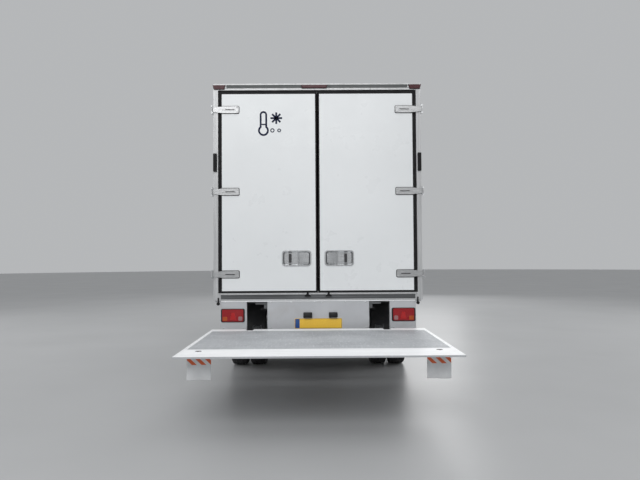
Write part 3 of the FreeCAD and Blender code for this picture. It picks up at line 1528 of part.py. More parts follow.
def platform():
    """The tail-lift deck: a tapered panel with a bevelled lip, notched for the arms."""
    front = tip_y + d.platform_ahead
    back = front - d.platform_length
    deck = tip_z + d.deck_above_pin
    low = deck - d.platform_thick
    lip = back + d.platform_lip_length
    outline = [
        (front, low), (front, deck), (back, deck), (back, deck - d.platform_lip_thick), (lip, low),
    ]
    panel = padded("platform_panel", "x", outline, half(d.platform_width))
    notch_x = half_about(arm_middle, d.notch_width)
    notch = block("platform_notch", notch_x, (tip_y - d.notch_behind, front + d.overrun),
                  (low - d.overrun, deck + d.overrun))
    eye_x = half_about(d.tilt_offset, d.ear_gap)
    relief = block("platform_eye_relief", eye_x, (tilt_eye_y - d.eye_radius * 3, front + d.overrun),
                   (low - d.overrun, deck - d.platform_lip_thick))
    panel = cut("platform_notched", panel, [notch, mirrored("platform_notch_left", notch),
                                            relief, mirrored("platform_relief_left", relief)])
    parts = [panel]
    plate = [
        (tip_y - d.notch_behind, low), (front, low), (front, tip_z),
        (tip_y + d.hinge_plate_drop / 2, tip_z - d.hinge_plate_drop / 2),
        (tip_y, tip_z - d.hinge_plate_drop / 2),
    ]
    ear = [
        (tilt_eye_y - d.eye_radius * 3, low), (tilt_eye_y - d.eye_radius * 3,
                                               deck - d.platform_lip_thick),
        (front, deck - d.platform_lip_thick), (front, low),
        (tilt_eye_y + d.eye_radius, tilt_eye_z - d.eye_radius),
        (tilt_eye_y - d.eye_radius, tilt_eye_z - d.eye_radius),
    ]
    for name, start in (("inner", eye_x[0] - d.ear_thick), ("outer", eye_x[1])):
        lug = padded("tilt_ear_" + name, "x", ear, (start, start + d.ear_thick))
        parts.extend([lug, mirrored("tilt_ear_left_" + name, lug)])
    for name, start in (("inner", notch_x[0] - d.hinge_plate_thick), ("outer", notch_x[1])):
        lug = padded("hinge_plate_" + name, "x", plate, (start, start + d.hinge_plate_thick))
        parts.extend([lug, mirrored("hinge_plate_left_" + name, lug)])
    whole = joined("platform_eared", parts)
    reach = d.hinge_plate_thick + d.overrun
    bore = bar("platform_bore", "x", d.tip_pin_radius + d.seat_gap,
               (notch_x[0] - reach, notch_x[1] + reach),
               (tip_y, tip_z))
    keep("platform", cut("platform", whole, [bore, mirrored("platform_bore_left", bore)]))
    pin_x = (notch_x[0] - d.hinge_plate_thick, notch_x[1] + d.hinge_plate_thick)
    pin = bar("tip_pin", "x", d.tip_pin_radius, pin_x, (tip_y, tip_z))
    keep("platform_pins", both("platform_pins", pin))
    flag_y = back + d.flag_from_tip
    under = deck - d.platform_lip_thick - (deck - d.platform_lip_thick - low) * (
        (d.flag_from_tip + d.flag_thick) / d.platform_lip_length)
    flag = block("flag", half_about(d.flag_offset, d.flag_width), (flag_y, flag_y + d.flag_thick),
                 (under - d.flag_drop, under - d.seat_gap))
    keep("platform_flags", both("platform_flags", flag))


def slanted_bar(name, radius, x, start, end, begin, length):
    """A round bar on the line from one (y, z) point to another, from a distance along it."""
    first = Vector(x.value, start[0].value, start[1].value)
    way = (Vector(x.value, end[0].value, end[1].value) - first).normalize()
    solid = doc.addObject("Part::Cylinder", name)
    bind(solid, "Radius", radius)
    bind(solid, "Height", length)
    solid.Placement = FreeCAD.Placement(first + way * value_of(begin),
                                        FreeCAD.Rotation(Vector(0, 0, 1), way))
    return solid


def span_length(start, end):
    return math.hypot(end[0].value - start[0].value, end[1].value - start[1].value)


def cylinder_pair(name, x, root, eye, sizes):
    """A hydraulic cylinder: barrel with its root eye, and rod with the eye at its far end.

    sizes holds the barrel's radius and length, the rod's radius and the eye's width.
    """
    barrel_radius, barrel_length, rod_radius, eye_width = sizes
    total = span_length(root, eye)
    shell = slanted_bar(name + "_shell", barrel_radius, x, root, eye, d.eye_radius,
                        barrel_length - d.eye_radius)
    root_eye = bar(name + "_root_eye", "x", d.eye_radius, half_about(x, eye_width), root)
    neck = slanted_bar(name + "_neck", rod_radius, x, root, eye, 0, d.eye_radius * 2)
    bore_start = d.eye_radius * 2
    bore = slanted_bar(name + "_bore", rod_radius + d.seat_gap, x, root, eye, bore_start, barrel_length)
    root_bore = bar(name + "_root_bore", "x", d.eye_pin_radius + d.seat_gap,
                    half_about(x, eye_width + d.overrun * 2), root)
    barrel = cut(name + "_barrel", joined(name + "_barrel_solid", [shell, root_eye, neck]),
                 [bore, root_bore])
    inside = barrel_length * ROD_OVERLAP_SHARE
    rod_start = barrel_length - inside
    rod = slanted_bar(name + "_rod_bar", rod_radius, x, root, eye, rod_start, inside)
    rod_rest = slanted_bar(name + "_rod_rest", rod_radius, x, root, eye, barrel_length, d.eye_radius)
    rod_rest.setExpression("Height", None)
    rod_rest.Height = total - barrel_length.value - d.eye_radius.value / 2
    far_eye = bar(name + "_far_eye", "x", d.eye_radius, half_about(x, eye_width), eye)
    far_rod = joined(name + "_rod_solid", [rod, rod_rest, far_eye])
    return barrel, far_rod


def lift_cylinders():
    """The tilt cylinders beside the arms and the lift cylinders under them."""
    barrel, rod = cylinder_pair("tilt", d.tilt_offset, (tilt_root_y, tilt_root_z),
                                (tilt_eye_y, tilt_eye_z),
                                (d.tilt_barrel_radius, d.tilt_barrel_length, d.tilt_rod_radius,
                                 d.eye_width))
    keep("tilt_barrels", both("tilt_barrels", barrel))
    keep("tilt_rods", both("tilt_rods", rod))
    barrel, rod = cylinder_pair("lift", arm_middle, (lift_root_y, lift_root_z), (lift_eye_y, lift_eye_z),
                                (d.lift_barrel_radius, d.lift_barrel_length, d.lift_rod_radius,
                                 d.lift_eye_width))
    keep("lift_barrels", both("lift_barrels", barrel))
    keep("lift_rods", both("lift_rods", rod))


def rear_door():
    """One door leaf with its rubber seal, and its straps, pins and recessed lock handle."""
    rear = at(0)
    leaf = block("leaf", (d.door_inner_edge, d.door_outer_edge), (rear, rear + d.door_thick),
                 (d.door_bottom, door_top))
    inner = d.handle_inner_edge
    outer = inner + d.handle_width
    low = d.handle_centre_height - d.handle_height / 2
    high = low + d.handle_height
    well = padded("handle_well", "y", [(inner, low), (outer, low), (outer, high), (inner, high)],
                  (rear - d.overrun, rear + d.handle_recess), [(d.handle_corner_radius, [0, 1, 2, 3])])
    right_leaf = cut("rear_door_right", leaf, [well])
    keep("rear_door_right", right_leaf)
    keep("rear_door_left", mirrored("rear_door_left", right_leaf))
    half_gap = d.seal_meeting_gap / 2
    seal_outer = post_inner - d.door_seal_gap
    seal_y = (rear + d.seal_front, rear + d.seal_back)
    bottom = d.sill_top + d.door_seal_gap
    top = header_bottom - d.door_seal_gap
    ring = [(half_gap, bottom), (seal_outer, bottom), (seal_outer, top), (half_gap, top)]
    hole = [(d.door_inner_edge, d.door_bottom), (d.door_outer_edge, d.door_bottom),
            (d.door_outer_edge, door_top), (d.door_inner_edge, door_top)]
    seal = padded("door_seal", "y", [ring, hole], seal_y)
    keep("door_seal_right", seal)
    keep("door_seal_left", mirrored("door_seal_left", seal))
    pin_x = d.hinge_pin_offset
    pin_y = rear - d.hinge_pin_stand
    parts = []
    brackets = []
    strap_start = pin_x - d.hinge_strap_length
    lowest = d.door_bottom + d.hinge_above_bottom
    highest = door_top - d.hinge_below_top
    for number, level in enumerate((lowest, (lowest + highest) / 2, highest)):
        tall = d.hinge_strap_height / 2
        tip = d.hinge_strap_tip_height / 2
        bend = d.door_outer_edge
        outline = [
            (strap_start, level - tall), (bend, level - tall), (pin_x, level - tip),
            (pin_x, level + tip), (bend, level + tall), (strap_start, level + tall),
        ]
        strap = padded("strap_%d" % number, "y", outline, (rear - d.hinge_strap_thick, rear),
                       [(d.hinge_strap_thick, [0, 5])])
        split = d.hinge_knuckle_split
        knuckle = bar("strap_knuckle_%d" % number, "z", d.hinge_knuckle_radius,
                      (level - split, level + split), (pin_x, pin_y))
        web = block("strap_web_%d" % number, (pin_x - d.hinge_knuckle_radius, pin_x),
                    (pin_y, rear - d.hinge_strap_thick / 2), (level - tip, level + tip))
        whole = joined("strap_whole_%d" % number, [strap, knuckle, web])
        parts.append(cut("strap_bored_%d" % number, whole, [
            bar("strap_bore_%d" % number, "z", d.hinge_pin_radius + d.seat_gap,
                (level - split - d.overrun, level + split + d.overrun), (pin_x, pin_y))]))
        gap = d.swing_gap / 3
        reach = split + gap + d.hinge_knuckle_radius * 2
        pin = bar("hinge_pin_%d" % number, "z", d.hinge_pin_radius, (level - reach, level + reach),
                  (pin_x, pin_y))
        pieces = [pin]
        for name, start in (("below", level - reach), ("above", level + split + gap)):
            lug = bar("post_knuckle_%d_%s" % (number, name), "z", d.hinge_knuckle_radius,
                      (start, start + d.hinge_knuckle_radius * 2), (pin_x, pin_y))
            arm = block("post_lug_%d_%s" % (number, name), (d.body_width / 2, pin_x),
                        (pin_y, rear + d.frame_depth / 2),
                        (start, start + d.hinge_knuckle_radius * 2))
            pieces.extend([lug, arm])
        brackets.append(joined("post_bracket_%d" % number, pieces))
    fixed_hardware.extend(brackets)
    for number, piece in enumerate(brackets):
        fixed_hardware.append(mirrored("post_bracket_left_%d" % number, piece))
    keep("frame_hardware", gathered("frame_hardware", fixed_hardware))
    rim_outline = [(inner, low), (outer, low), (outer, high), (inner, high)]
    edge = d.handle_rim
    outside = padded("handle_outside", "y",
                     [(inner - edge, low - edge), (outer + edge, low - edge),
                      (outer + edge, high + edge), (inner - edge, high + edge)],
                     (rear - d.handle_proud, rear), [(d.handle_corner_radius, [0, 1, 2, 3])])
    tub = padded("handle_tub", "y", rim_outline, (rear - d.handle_proud, rear + d.handle_recess),
                 [(d.handle_corner_radius, [0, 1, 2, 3])])
    skin = d.handle_proud / 2
    hollow = padded("handle_hollow", "y",
                    [(inner + skin, low + skin), (outer - skin, low + skin),
                     (outer - skin, high - skin), (inner + skin, high - skin)],
                    (rear - d.handle_proud - d.overrun, rear + d.handle_recess - skin),
                    [(d.handle_corner_radius - skin, [0, 1, 2, 3])])
    pan = cut("handle_pan", joined("handle_pan_solid", [outside, tub]), [hollow])
    paddle_start = inner + edge
    middle = d.handle_centre_height
    paddle = block("paddle", (paddle_start, paddle_start + d.paddle_width),
                   (rear - d.handle_proud / 2, rear - d.handle_proud / 2 + d.paddle_thick),
                   half_about(middle, d.paddle_height))
    spindle = bar("paddle_spindle", "z", d.paddle_pin_radius, (low + skin / 2, high - skin / 2),
                  (paddle_start + d.paddle_width, rear + d.paddle_thick))
    parts.append(joined("door_handle", [pan, paddle, spindle]))
    right = gathered("door_fittings_right", parts)
    keep("door_fittings_right", right)
    keep("door_fittings_left", mirrored("door_fittings_left", right))


def cab_form(name, inset, half_width, edge_radius):
    """The cab's outer form, or the same form set in by a wall."""
    rear = at(d.cab_rear_reach) + inset
    front = at(d.cab_front_reach) - inset
    roof = d.cab_roof - inset
    low = d.cab_bottom if value_of(inset) == 0 else d.cab_floor_top
    outline = [
        (rear, low), (rear, d.cab_rear_shoulder), (at(d.cab_rear_reach + d.cab_rear_slope) + inset, roof),
        (at(d.roof_front_reach) - inset / 2, roof), (at(d.screen_top_reach) - inset,
                                                     d.screen_top_height - inset),
        (at(d.screen_base_reach) - inset, d.screen_base_height), (front, d.grille_top_height), (front,
                                                                                                low),
    ]
    body = padded(name, "x", outline, (-half_width, half_width),
                  [(d.cab_roof_radius, [2]), (d.cab_bend_radius, [1, 3, 4, 5, 6])])
    shape = body.Shape
    limit = half_width.value - 1
    names = []
    for index, edge in enumerate(shape.Edges):
        place = edge.CenterOfMass
        if abs(place.x) > limit and place.z > value_of(low) + 1:
            names.append("Edge%d" % (index + 1))
    last = body.Tip
    fillet = body.newObject("PartDesign::Fillet", name + "_edges")
    fillet.Base = (last, names)
    bind(fillet, "Radius", edge_radius)
    doc.recompute()
    return body


def cab():
    """The tilting cab: shell with its doors' and windows' openings, glass and fittings."""
    width = d.cab_width / 2
    form = cab_form("cab_outer", 0, width, d.cab_edge_radius)
    room = cab_form("cab_room", d.cab_wall, width - d.cab_side_wall, d.cab_edge_radius - d.cab_wall)
    tunnel_half = d.tunnel_width / 2
    hump = block("cab_hump", (-tunnel_half - d.tunnel_skin, tunnel_half + d.tunnel_skin),
                 (at(d.cab_rear_reach), at(d.tunnel_front_reach + d.tunnel_skin)),
                 (d.cab_bottom, d.tunnel_top + d.tunnel_skin))
    hollow = cut("cab_hollow", room, [hump])
    under_half = width - d.cab_side_wall
    front_inside = at(d.cab_front_reach) - d.cab_wall
    under = block("cab_under", (-under_half, under_half),
                  (at(d.cab_rear_reach) - d.overrun, front_inside),
                  (d.cab_bottom - d.overrun, d.cab_floor_bottom))
    tunnel = block("cab_tunnel", (-tunnel_half, tunnel_half),
                   (at(d.cab_rear_reach) - d.overrun, at(d.tunnel_front_reach)),
                   (d.cab_bottom - d.overrun, d.tunnel_top))
    arch = bar("cab_arch", "x", d.wheel_arch_radius, (-width - d.overrun, width + d.overrun),
               (front_axle_y, wheel_z))
    gap = d.cab_door_gap
    inner = width - d.cab_side_wall - d.overrun
    door_hole = padded("door_hole", "x", door_outline(gap), (inner, width + d.overrun))
    screen_hole = padded("screen_hole", "x", [
        (at(d.screen_base_reach) - d.cab_wall * 3, d.screen_bottom), (at(d.cab_front_reach),
                                                                      d.screen_bottom),
        (at(d.cab_front_reach), d.screen_top), (at(d.screen_top_reach) - d.cab_wall * 3, d.screen_top),
    ], (-d.pillar_inset, d.pillar_inset))
    shell = cut("cab_shell_cut", form, [hollow, under, tunnel, arch, door_hole,
                                        mirrored("door_hole_left", door_hole), screen_hole])
    lug_z = d.tilt_pivot_height
    lug_y = at(d.tilt_pivot_reach)
    lug_x = (d.tilt_lug_offset, d.tilt_lug_offset + d.tilt_lug_thick)
    lug = joined("tilt_lug", [
        bar("tilt_lug_eye", "x", d.tilt_lug_radius, lug_x, (lug_y, lug_z)),
        block("tilt_lug_arm", lug_x, half_about(lug_y, d.tilt_lug_radius * 2),
              (lug_z, d.cab_floor_bottom)),
    ])
    lug_bore = bar("tilt_lug_bore", "x", d.tilt_pin_radius + d.seat_gap,
                   (lug_x[0] - d.overrun, lug_x[1] + d.overrun), (lug_y, lug_z))
    lug = cut("tilt_lug_bored", lug, [lug_bore])
    fixed = [cab_hinge(level)[0] for level in (d.cab_hinge_low_height, d.cab_hinge_high_height)]
    left = [mirrored("%s_left" % piece.Name, piece) for piece in [lug] + fixed]
    keep("cab_shell", joined("cab_shell", [shell, lug] + fixed + left))
    slope = (d.screen_base_reach - d.screen_top_reach) / (d.screen_top_height - d.screen_base_height)
    low = d.screen_bottom + d.seat_gap
    high = d.screen_top - d.seat_gap
    low_y = at(d.screen_base_reach) - slope * (low - d.screen_base_height) - d.glass_inset
    high_y = at(d.screen_base_reach) - slope * (high - d.screen_base_height) - d.glass_inset
    side = d.pillar_inset - d.seat_gap
    keep("windscreen", padded("windscreen", "x", [
        (low_y - d.glass_thick, low), (low_y, low), (high_y, high), (high_y - d.glass_thick, high),
    ], (-side, side)))


def cab_hinge(level):
    """One hinge of a cab door: the pillar's lugs with their pin, and the door's bored knuckle."""
    tag = "%d" % level.value
    x = d.cab_width / 2 + d.cab_hinge_stand
    y = at(d.cab_door_front_reach) + d.cab_door_gap / 2
    half_tall = d.cab_hinge_half
    gap = d.swing_gap / 3
    low = level - half_tall - gap - d.cab_hinge_lug
    high = level + half_tall + gap
    leaf_x = (d.cab_width / 2, d.cab_width / 2 + d.cab_hinge_leaf_thick)
    pin = bar("cab_hinge_pin_" + tag, "z", d.cab_hinge_pin_radius, (low, high + d.cab_hinge_lug), (x, y))
    lugs = [pin]
    for name, start in (("low", low), ("high", high)):
        span = (start, start + d.cab_hinge_lug)
        lugs.append(bar("cab_hinge_lug_%s_%s" % (name, tag), "z", d.cab_hinge_radius, span, (x, y)))
        lugs.append(block("cab_hinge_leaf_%s_%s" % (name, tag), leaf_x, (y, y + d.cab_hinge_leaf), span))
    span = (level - half_tall, level + half_tall)
    knuckle = joined("cab_hinge_knuckle_" + tag, [
        bar("cab_hinge_barrel_" + tag, "z", d.cab_hinge_radius, span, (x, y)),
        block("cab_hinge_strap_" + tag, leaf_x, (y - d.cab_hinge_leaf, y), span),
    ])
    bore = bar("cab_hinge_bore_" + tag, "z", d.cab_hinge_pin_radius + d.seat_gap,
               (span[0] - gap, span[1] + gap), (x, y))
    return joined("cab_hinge_fixed_" + tag, lugs), cut("cab_hinge_moving_" + tag, knuckle, [bore])


def door_outline(grow):
    """The cab door's outline, grown on every side by a gap."""
    rear = at(d.cab_door_rear_reach) - grow
    front = at(d.cab_door_front_reach) + grow
    return [
        (rear, d.cab_door_bottom - grow), (front, d.cab_door_bottom - grow),
        (front, d.cab_door_shoulder + grow), (at(d.cab_door_top_reach) + grow, d.cab_door_top + grow),
        (rear, d.cab_door_top + grow),
    ]


def cab_doors():
    """Hollow-backed doors with a cut window, its glass and a handle."""
    width = d.cab_width / 2
    x = (width - d.cab_side_wall, width)
    panel = padded("door_panel", "x", door_outline(0), x, [(d.cab_edge_radius / 2, [0, 4])])
    rear = at(d.cab_door_rear_reach) + d.cab_door_pillar
    rail = d.cab_door_rail
    sill = d.cab_door_sill_height
    lean = (d.cab_door_front_reach - d.cab_door_top_reach) / (d.cab_door_top - d.cab_door_shoulder)
    high = d.cab_door_top - rail
    low_front = at(d.cab_door_front_reach) - lean * (sill - d.cab_door_shoulder) - d.cab_door_pillar
    high_front = at(d.cab_door_front_reach) - lean * (high - d.cab_door_shoulder) - d.cab_door_pillar
    window = [(rear, sill), (low_front, sill), (high_front, high), (rear, high)]
    hole = padded("door_window", "x", window, (x[0] - d.overrun, x[1] + d.overrun))
    pocket = block("door_pocket", (x[0] - d.overrun, x[1] - d.door_pocket),
                   (rear, at(d.cab_door_front_reach) - d.cab_door_pillar),
                   (d.cab_door_bottom + d.cab_door_pillar, sill - d.cab_door_pillar))
    handle_y = (rear, rear + d.cab_handle_length)
    handle_z = half_about(sill - d.cab_door_pillar, d.cab_handle_height)
    well = block("cab_handle_well", (x[1] - d.cab_handle_depth, x[1] + d.overrun), handle_y,
                 (handle_z[0] - d.cab_handle_height, handle_z[1] + d.cab_handle_height / 2))
    grip = block("cab_handle_grip", (x[1] - d.cab_handle_depth, x[1]), handle_y, handle_z)
    knuckles_right = [cab_hinge(level)[1] for level in (d.cab_hinge_low_height, d.cab_hinge_high_height)]
    right = joined("cab_door_right", [cut("cab_door_cut", panel, [hole, pocket, well]),
                                      grip] + knuckles_right)
    keep("cab_door_right", right)
    keep("cab_door_left", mirrored("cab_door_left", right))
    gap = d.seat_gap
    pane = [(rear + gap, sill + gap), (low_front - gap, sill + gap),
            (high_front - gap, high - gap), (rear + gap, high - gap)]
    middle = (x[0] + x[1]) / 2
    glass = padded("door_glass", "x", pane, half_about(middle, d.glass_thick))
    keep("door_glass_right", glass)
    keep("door_glass_left", mirrored("door_glass_left", glass))


def cab_interior():
    """Two seats, the dashboard with its column and wheel, and the mirrors."""
    floor = d.cab_floor_top
    rear = at(d.seat_rear_reach)
    base = floor + d.seat_base_height
    top = base + d.seat_cushion_thick
    back_top = top + d.seat_back_height
    thick = d.seat_back_thick
    outline = [
        (rear + d.seat_rake, floor), (rear + d.seat_cushion_length,
                                      floor), (rear + d.seat_cushion_length, base),
        (rear + d.seat_cushion_length + d.seat_rake, base), (rear + d.seat_cushion_length + d.seat_rake,
                                                             top),
        (rear + d.seat_rake + thick, top), (rear + thick, back_top), (rear, back_top),
        (rear + d.seat_rake, base),
    ]
    seat = padded("seat", "x", outline, half_about(d.seat_offset, d.seat_width),
                  [(thick / 3, [4, 6, 7])])
    keep("cab_seats", both("cab_seats", seat))
    width = d.cab_width / 2 - d.cab_side_wall - d.cab_edge_radius
    back = at(d.dash_rear_reach)
    front = at(d.cab_front_reach) - d.cab_wall - d.seat_gap
    dash = padded("dash_body", "x", [
        (back, d.dash_bottom + d.dash_knee), (back + d.dash_knee, d.dash_bottom), (front, d.dash_bottom),
        (front, d.dash_top - d.dash_knee), (at(d.dash_front_reach) - d.dash_knee, d.dash_top),
        (back, d.dash_top),
    ], (-width, width), [(d.dash_knee / 3, [0, 5])])
    wheel_place = (-d.steering_wheel_offset, at(d.steering_wheel_reach),
                   d.steering_wheel_height)
    lean = FreeCAD.Rotation(Vector(1, 0, 0), ANGLES["steering_wheel_lean"])
    ring = doc.addObject("Part::Torus", "steering_ring")
    bind(ring, "Radius1", d.steering_wheel_radius)
    bind(ring, "Radius2", d.steering_wheel_rim)
    ring.Placement = FreeCAD.Placement(Vector(), lean)
    move_to(ring, *wheel_place)
    spoke = doc.addObject("Part::Box", "steering_spoke")
    bind(spoke, "Length", d.steering_wheel_radius * 2)
    bind(spoke, "Width", d.steering_wheel_rim * 4)
    bind(spoke, "Height", d.steering_wheel_rim)
    corner = lean.multVec(Vector(0, -2 * d.steering_wheel_rim.value, -d.steering_wheel_rim.value / 2))
    spoke.Placement = FreeCAD.Placement(
        Vector(wheel_place[0].value - d.steering_wheel_radius.value, wheel_place[1].value + corner.y,
               wheel_place[2].value + corner.z), lean)
    axis = lean.multVec(Vector(0, 0, -1))
    column = doc.addObject("Part::Cylinder", "steering_column")
    bind(column, "Radius", d.steering_column_radius)
    bind(column, "Height", d.dash_rear_reach + d.dash_knee * 2 - d.steering_wheel_reach)
    column.Placement = FreeCAD.Placement(Vector(), FreeCAD.Rotation(Vector(0, 0, 1), axis))
    move_to(column, *wheel_place)
    keep("dashboard", joined("dashboard", [dash, ring, spoke, column]))
    low = d.mirror_bottom
    y = reach_span(d.mirror_rear_reach, d.mirror_rear_reach + d.mirror_depth)
    case = padded("mirror_case", "z", [
        (d.mirror_inner, y[0]), (d.mirror_inner + d.mirror_width, y[0]),
        (d.mirror_inner + d.mirror_width, y[1]), (d.mirror_inner, y[1]),
    ], (low, low + d.mirror_height), [(d.mirror_depth / 2 - d.swing_gap, [2, 3])])
    middle = (d.mirror_inner + d.mirror_width / 2, (y[0] + y[1]) / 2)
    low_end = (middle[0], middle[1], low - d.mirror_arm_radius * 3)
    high_end = (middle[0], middle[1], low + d.mirror_height + d.mirror_arm_radius * 2)
    stem = bar("mirror_stem", "z", d.mirror_arm_radius, (low_end[2], high_end[2]), middle)
    foot_x = d.cab_width / 2 + d.seat_gap
    arm_x_start = foot_x + d.mirror_arm_radius
    arms = [
        strut("mirror_arm_low", d.mirror_arm_radius,
              (arm_x_start, at(d.mirror_low_foot_reach), low_end[2]), low_end),
        strut("mirror_arm_high", d.mirror_arm_radius,
              (arm_x_start, at(d.mirror_high_foot_reach), high_end[2]), high_end),
    ]
    for name, foot in (("low", d.mirror_low_foot_reach), ("high", d.mirror_high_foot_reach)):
        level = low_end[2] if name == "low" else high_end[2]
        arms.append(bar("mirror_foot_" + name, "x", d.mirror_foot_radius,
                        (foot_x, foot_x + d.mirror_arm_radius), (at(foot), level)))
    arms.append(ball("mirror_joint_low", d.mirror_joint_radius, low_end))
    arms.append(ball("mirror_joint_high", d.mirror_joint_radius, high_end))
    keep("mirrors", both("mirrors", joined("mirror", [case, stem] + arms)))


def cab_front():
    """Bumper shell, headlamps and steps."""
    outer = d.bumper_half_width
    front = at(d.bumper_reach)
    rear = at(d.bumper_side_rear)
    wall = d.bumper_wall
    z = (d.bumper_bottom, d.bumper_top)
    solid = padded("bumper_solid", "z", [(-outer, rear), (outer, rear), (outer, front),
                                         (-outer, front)], z,
                   [(d.bumper_corner_radius, [2, 3])])
    inner = outer - wall
    hollow = padded("bumper_hollow", "z", [
        (-inner, rear - d.overrun), (inner, rear - d.overrun), (inner, front - wall), (-inner,
                                                                                       front - wall),
    ], (z[0] - d.overrun, z[1] + d.overrun), [(d.bumper_corner_radius - wall, [2, 3])])
    lamp = block("lamp_pocket", (d.headlamp_inner, d.headlamp_outer),
                 (front - d.headlamp_depth, front + d.overrun),
                 (d.headlamp_bottom, d.headlamp_top))
    boss = bar("tow_boss", "y", d.tow_boss_radius, (front - d.tow_boss_length, front - wall / 2),
               (d.tow_offset, d.tow_height))
    bore = bar("tow_bore", "y", d.tow_bore_radius, (front - d.tow_bore_length, front + d.overrun),
               (d.tow_offset, d.tow_height))
    shell = cut("bumper_shell", solid, [hollow, lamp, mirrored("lamp_pocket_left", lamp)])
    shell = cut("bumper_bored", joined("bumper_bossed", [shell, boss]), [bore])
    stay = block("bumper_stay", (rail_inner - d.rail_flange, rail_inner),
                 (at(d.rail_front_reach), front - wall),
                 (d.rail_bottom - d.rail_flange, d.rail_bottom + d.rail_flange))
    bumper = joined("bumper_stayed", [shell, stay, mirrored("bumper_stay_left", stay)])
    gap = d.seat_gap
    glass = block("headlamp", (d.headlamp_inner + gap, d.headlamp_outer - gap),
                  (front - d.headlamp_depth + gap, front - d.glass_thick / 3),
                  (d.headlamp_bottom + gap, d.headlamp_top - gap))
    keep("headlamps", both("headlamps", glass))
    treads = []
    y = reach_span(d.step_rear_reach, d.step_front_reach)
    for name, level in (("low", d.step_low_height), ("high", d.step_high_height)):
        treads.append(block("step_" + name, (d.step_inner, inner), y, (level, level + d.step_thick)))
    back = block("step_back", (d.step_inner, d.step_inner + d.step_thick / 2), y,
                 (d.step_low_height, d.step_high_height + d.step_thick))
    arm = block("step_arm", (rail_outer + d.tilt_bracket_thick, d.step_inner),
                half_about(at(d.step_front_reach) - d.step_thick * 2,
                                                                  d.step_thick * 2),
                (d.step_high_height - d.step_thick, d.step_high_height + d.step_thick))
    step = joined("cab_step", treads + [back, arm])
    keep("bumper_and_steps", joined("bumper_and_steps", [bumper, step, mirrored("cab_step_left", step)]))


for build in (
    chassis_frame, box_subframe, insulated_box, edge_profiles, rear_frame, keepers_and_markers,
    rear_apron, refrigeration_unit, engine, rear_axle, front_axle, knuckles, front_wheels, rear_wheels,
    leaf_springs, chassis_side_units, mudguards, side_guards, tail_lift_frame, lift_arms, platform,
    lift_cylinders, rear_door, cab, cab_doors, cab_interior, cab_front,
):
    build()

doc.recompute()
failed = [thing.Name for thing in doc.Objects if "Invalid" in thing.State or "Error" in thing.State]
for node in nodes:
    if node.Shape.isNull() or not node.Shape.isValid() or not node.Shape.Solids:
        failed.append(node.Label)
if failed:
    raise SystemExit("not sound: " + ", ".join(failed))
for node in nodes:
    node.Shape.exportStep("parts/%s.step" % node.Label)
print(len(nodes), "nodes written")
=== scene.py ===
# %% [markdown]
# # A refrigerated truck, dressed for the studio
#
# The construction model of the truck comes first and is never moved. Everything below
# adds looks to it: finishes on the parts that already have the right shape, and finer
# pieces where rubber, lamps, tread or upholstery need more than plain solids.
# Lengths are metres, +X is right as seen from behind, +Y is forward and +Z is up.

# %% Load the construction model
import json
import math

import bmesh
import bpy
import numpy as np
from mathutils import Matrix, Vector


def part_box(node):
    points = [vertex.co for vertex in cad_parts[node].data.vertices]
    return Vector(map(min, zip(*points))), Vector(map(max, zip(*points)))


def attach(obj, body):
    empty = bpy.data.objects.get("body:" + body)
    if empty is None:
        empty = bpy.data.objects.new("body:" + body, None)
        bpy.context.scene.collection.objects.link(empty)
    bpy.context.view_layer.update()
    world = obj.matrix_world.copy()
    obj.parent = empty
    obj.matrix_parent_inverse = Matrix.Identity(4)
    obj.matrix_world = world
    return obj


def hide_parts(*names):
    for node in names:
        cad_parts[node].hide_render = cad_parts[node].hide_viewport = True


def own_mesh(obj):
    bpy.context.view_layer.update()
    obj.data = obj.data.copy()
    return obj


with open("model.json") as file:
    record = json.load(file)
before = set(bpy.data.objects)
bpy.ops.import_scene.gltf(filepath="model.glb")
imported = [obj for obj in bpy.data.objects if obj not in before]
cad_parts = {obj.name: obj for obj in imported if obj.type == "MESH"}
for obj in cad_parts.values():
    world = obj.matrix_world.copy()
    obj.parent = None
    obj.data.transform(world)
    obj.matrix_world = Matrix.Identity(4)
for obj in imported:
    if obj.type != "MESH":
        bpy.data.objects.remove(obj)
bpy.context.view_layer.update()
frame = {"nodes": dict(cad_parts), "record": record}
record = frame["record"]

# %% [markdown]
# ## Where things are
#
# A truck builder measures along the chassis from the rear. Here every length forward is
# counted from the outer face of the closed rear doors, which the box of a door gives.

# %% The rear face
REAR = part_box("rear_door_right")[0].y
DECK_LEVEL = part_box("platform")[1].z


def reach(forward):
    """The y of a place so far ahead of the rear doors: the doors' own y plus that length."""
    return REAR + forward


print("rear doors at y", round(REAR, 4), "deck at z", round(DECK_LEVEL, 4))

# %% [markdown]
# ## The camera
#
# The picture was taken from chest height, about six and a half metres behind the doors,
# and almost square on. The lens follows from how fast the lowered platform narrows with
# distance. A camera's matrix is a place, then a turn to the side, a tilt up from straight
# down, and last a small roll about the line of sight.

# %% Camera
CAMERA_PLACE = (-0.0208, REAR - 6.6461, 1.3686)
CAMERA_LENS, SENSOR_WIDTH = 33.922, 36  # millimetres
CAMERA_UP, CAMERA_RIGHT, CAMERA_ROLL = 1.6944, 0.3837, -0.3573  # degrees
FAR_CLIP = 200

camera_data = bpy.data.cameras.new("studio_camera")
camera_data.lens = CAMERA_LENS
camera_data.sensor_width = SENSOR_WIDTH
camera_data.dof.use_dof = False
camera_data.clip_end = FAR_CLIP
camera = bpy.data.objects.new("studio_camera", camera_data)
bpy.context.scene.collection.objects.link(camera)
camera.matrix_world = (
    Matrix.Translation(CAMERA_PLACE)
    @ Matrix.Rotation(math.radians(-CAMERA_RIGHT), 4, "Z")
    @ Matrix.Rotation(math.radians(90 + CAMERA_UP), 4, "X")
    @ Matrix.Rotation(math.radians(CAMERA_ROLL), 4, "Z")
)
bpy.context.scene.camera = camera
print("camera", CAMERA_PLACE, "lens", CAMERA_LENS)

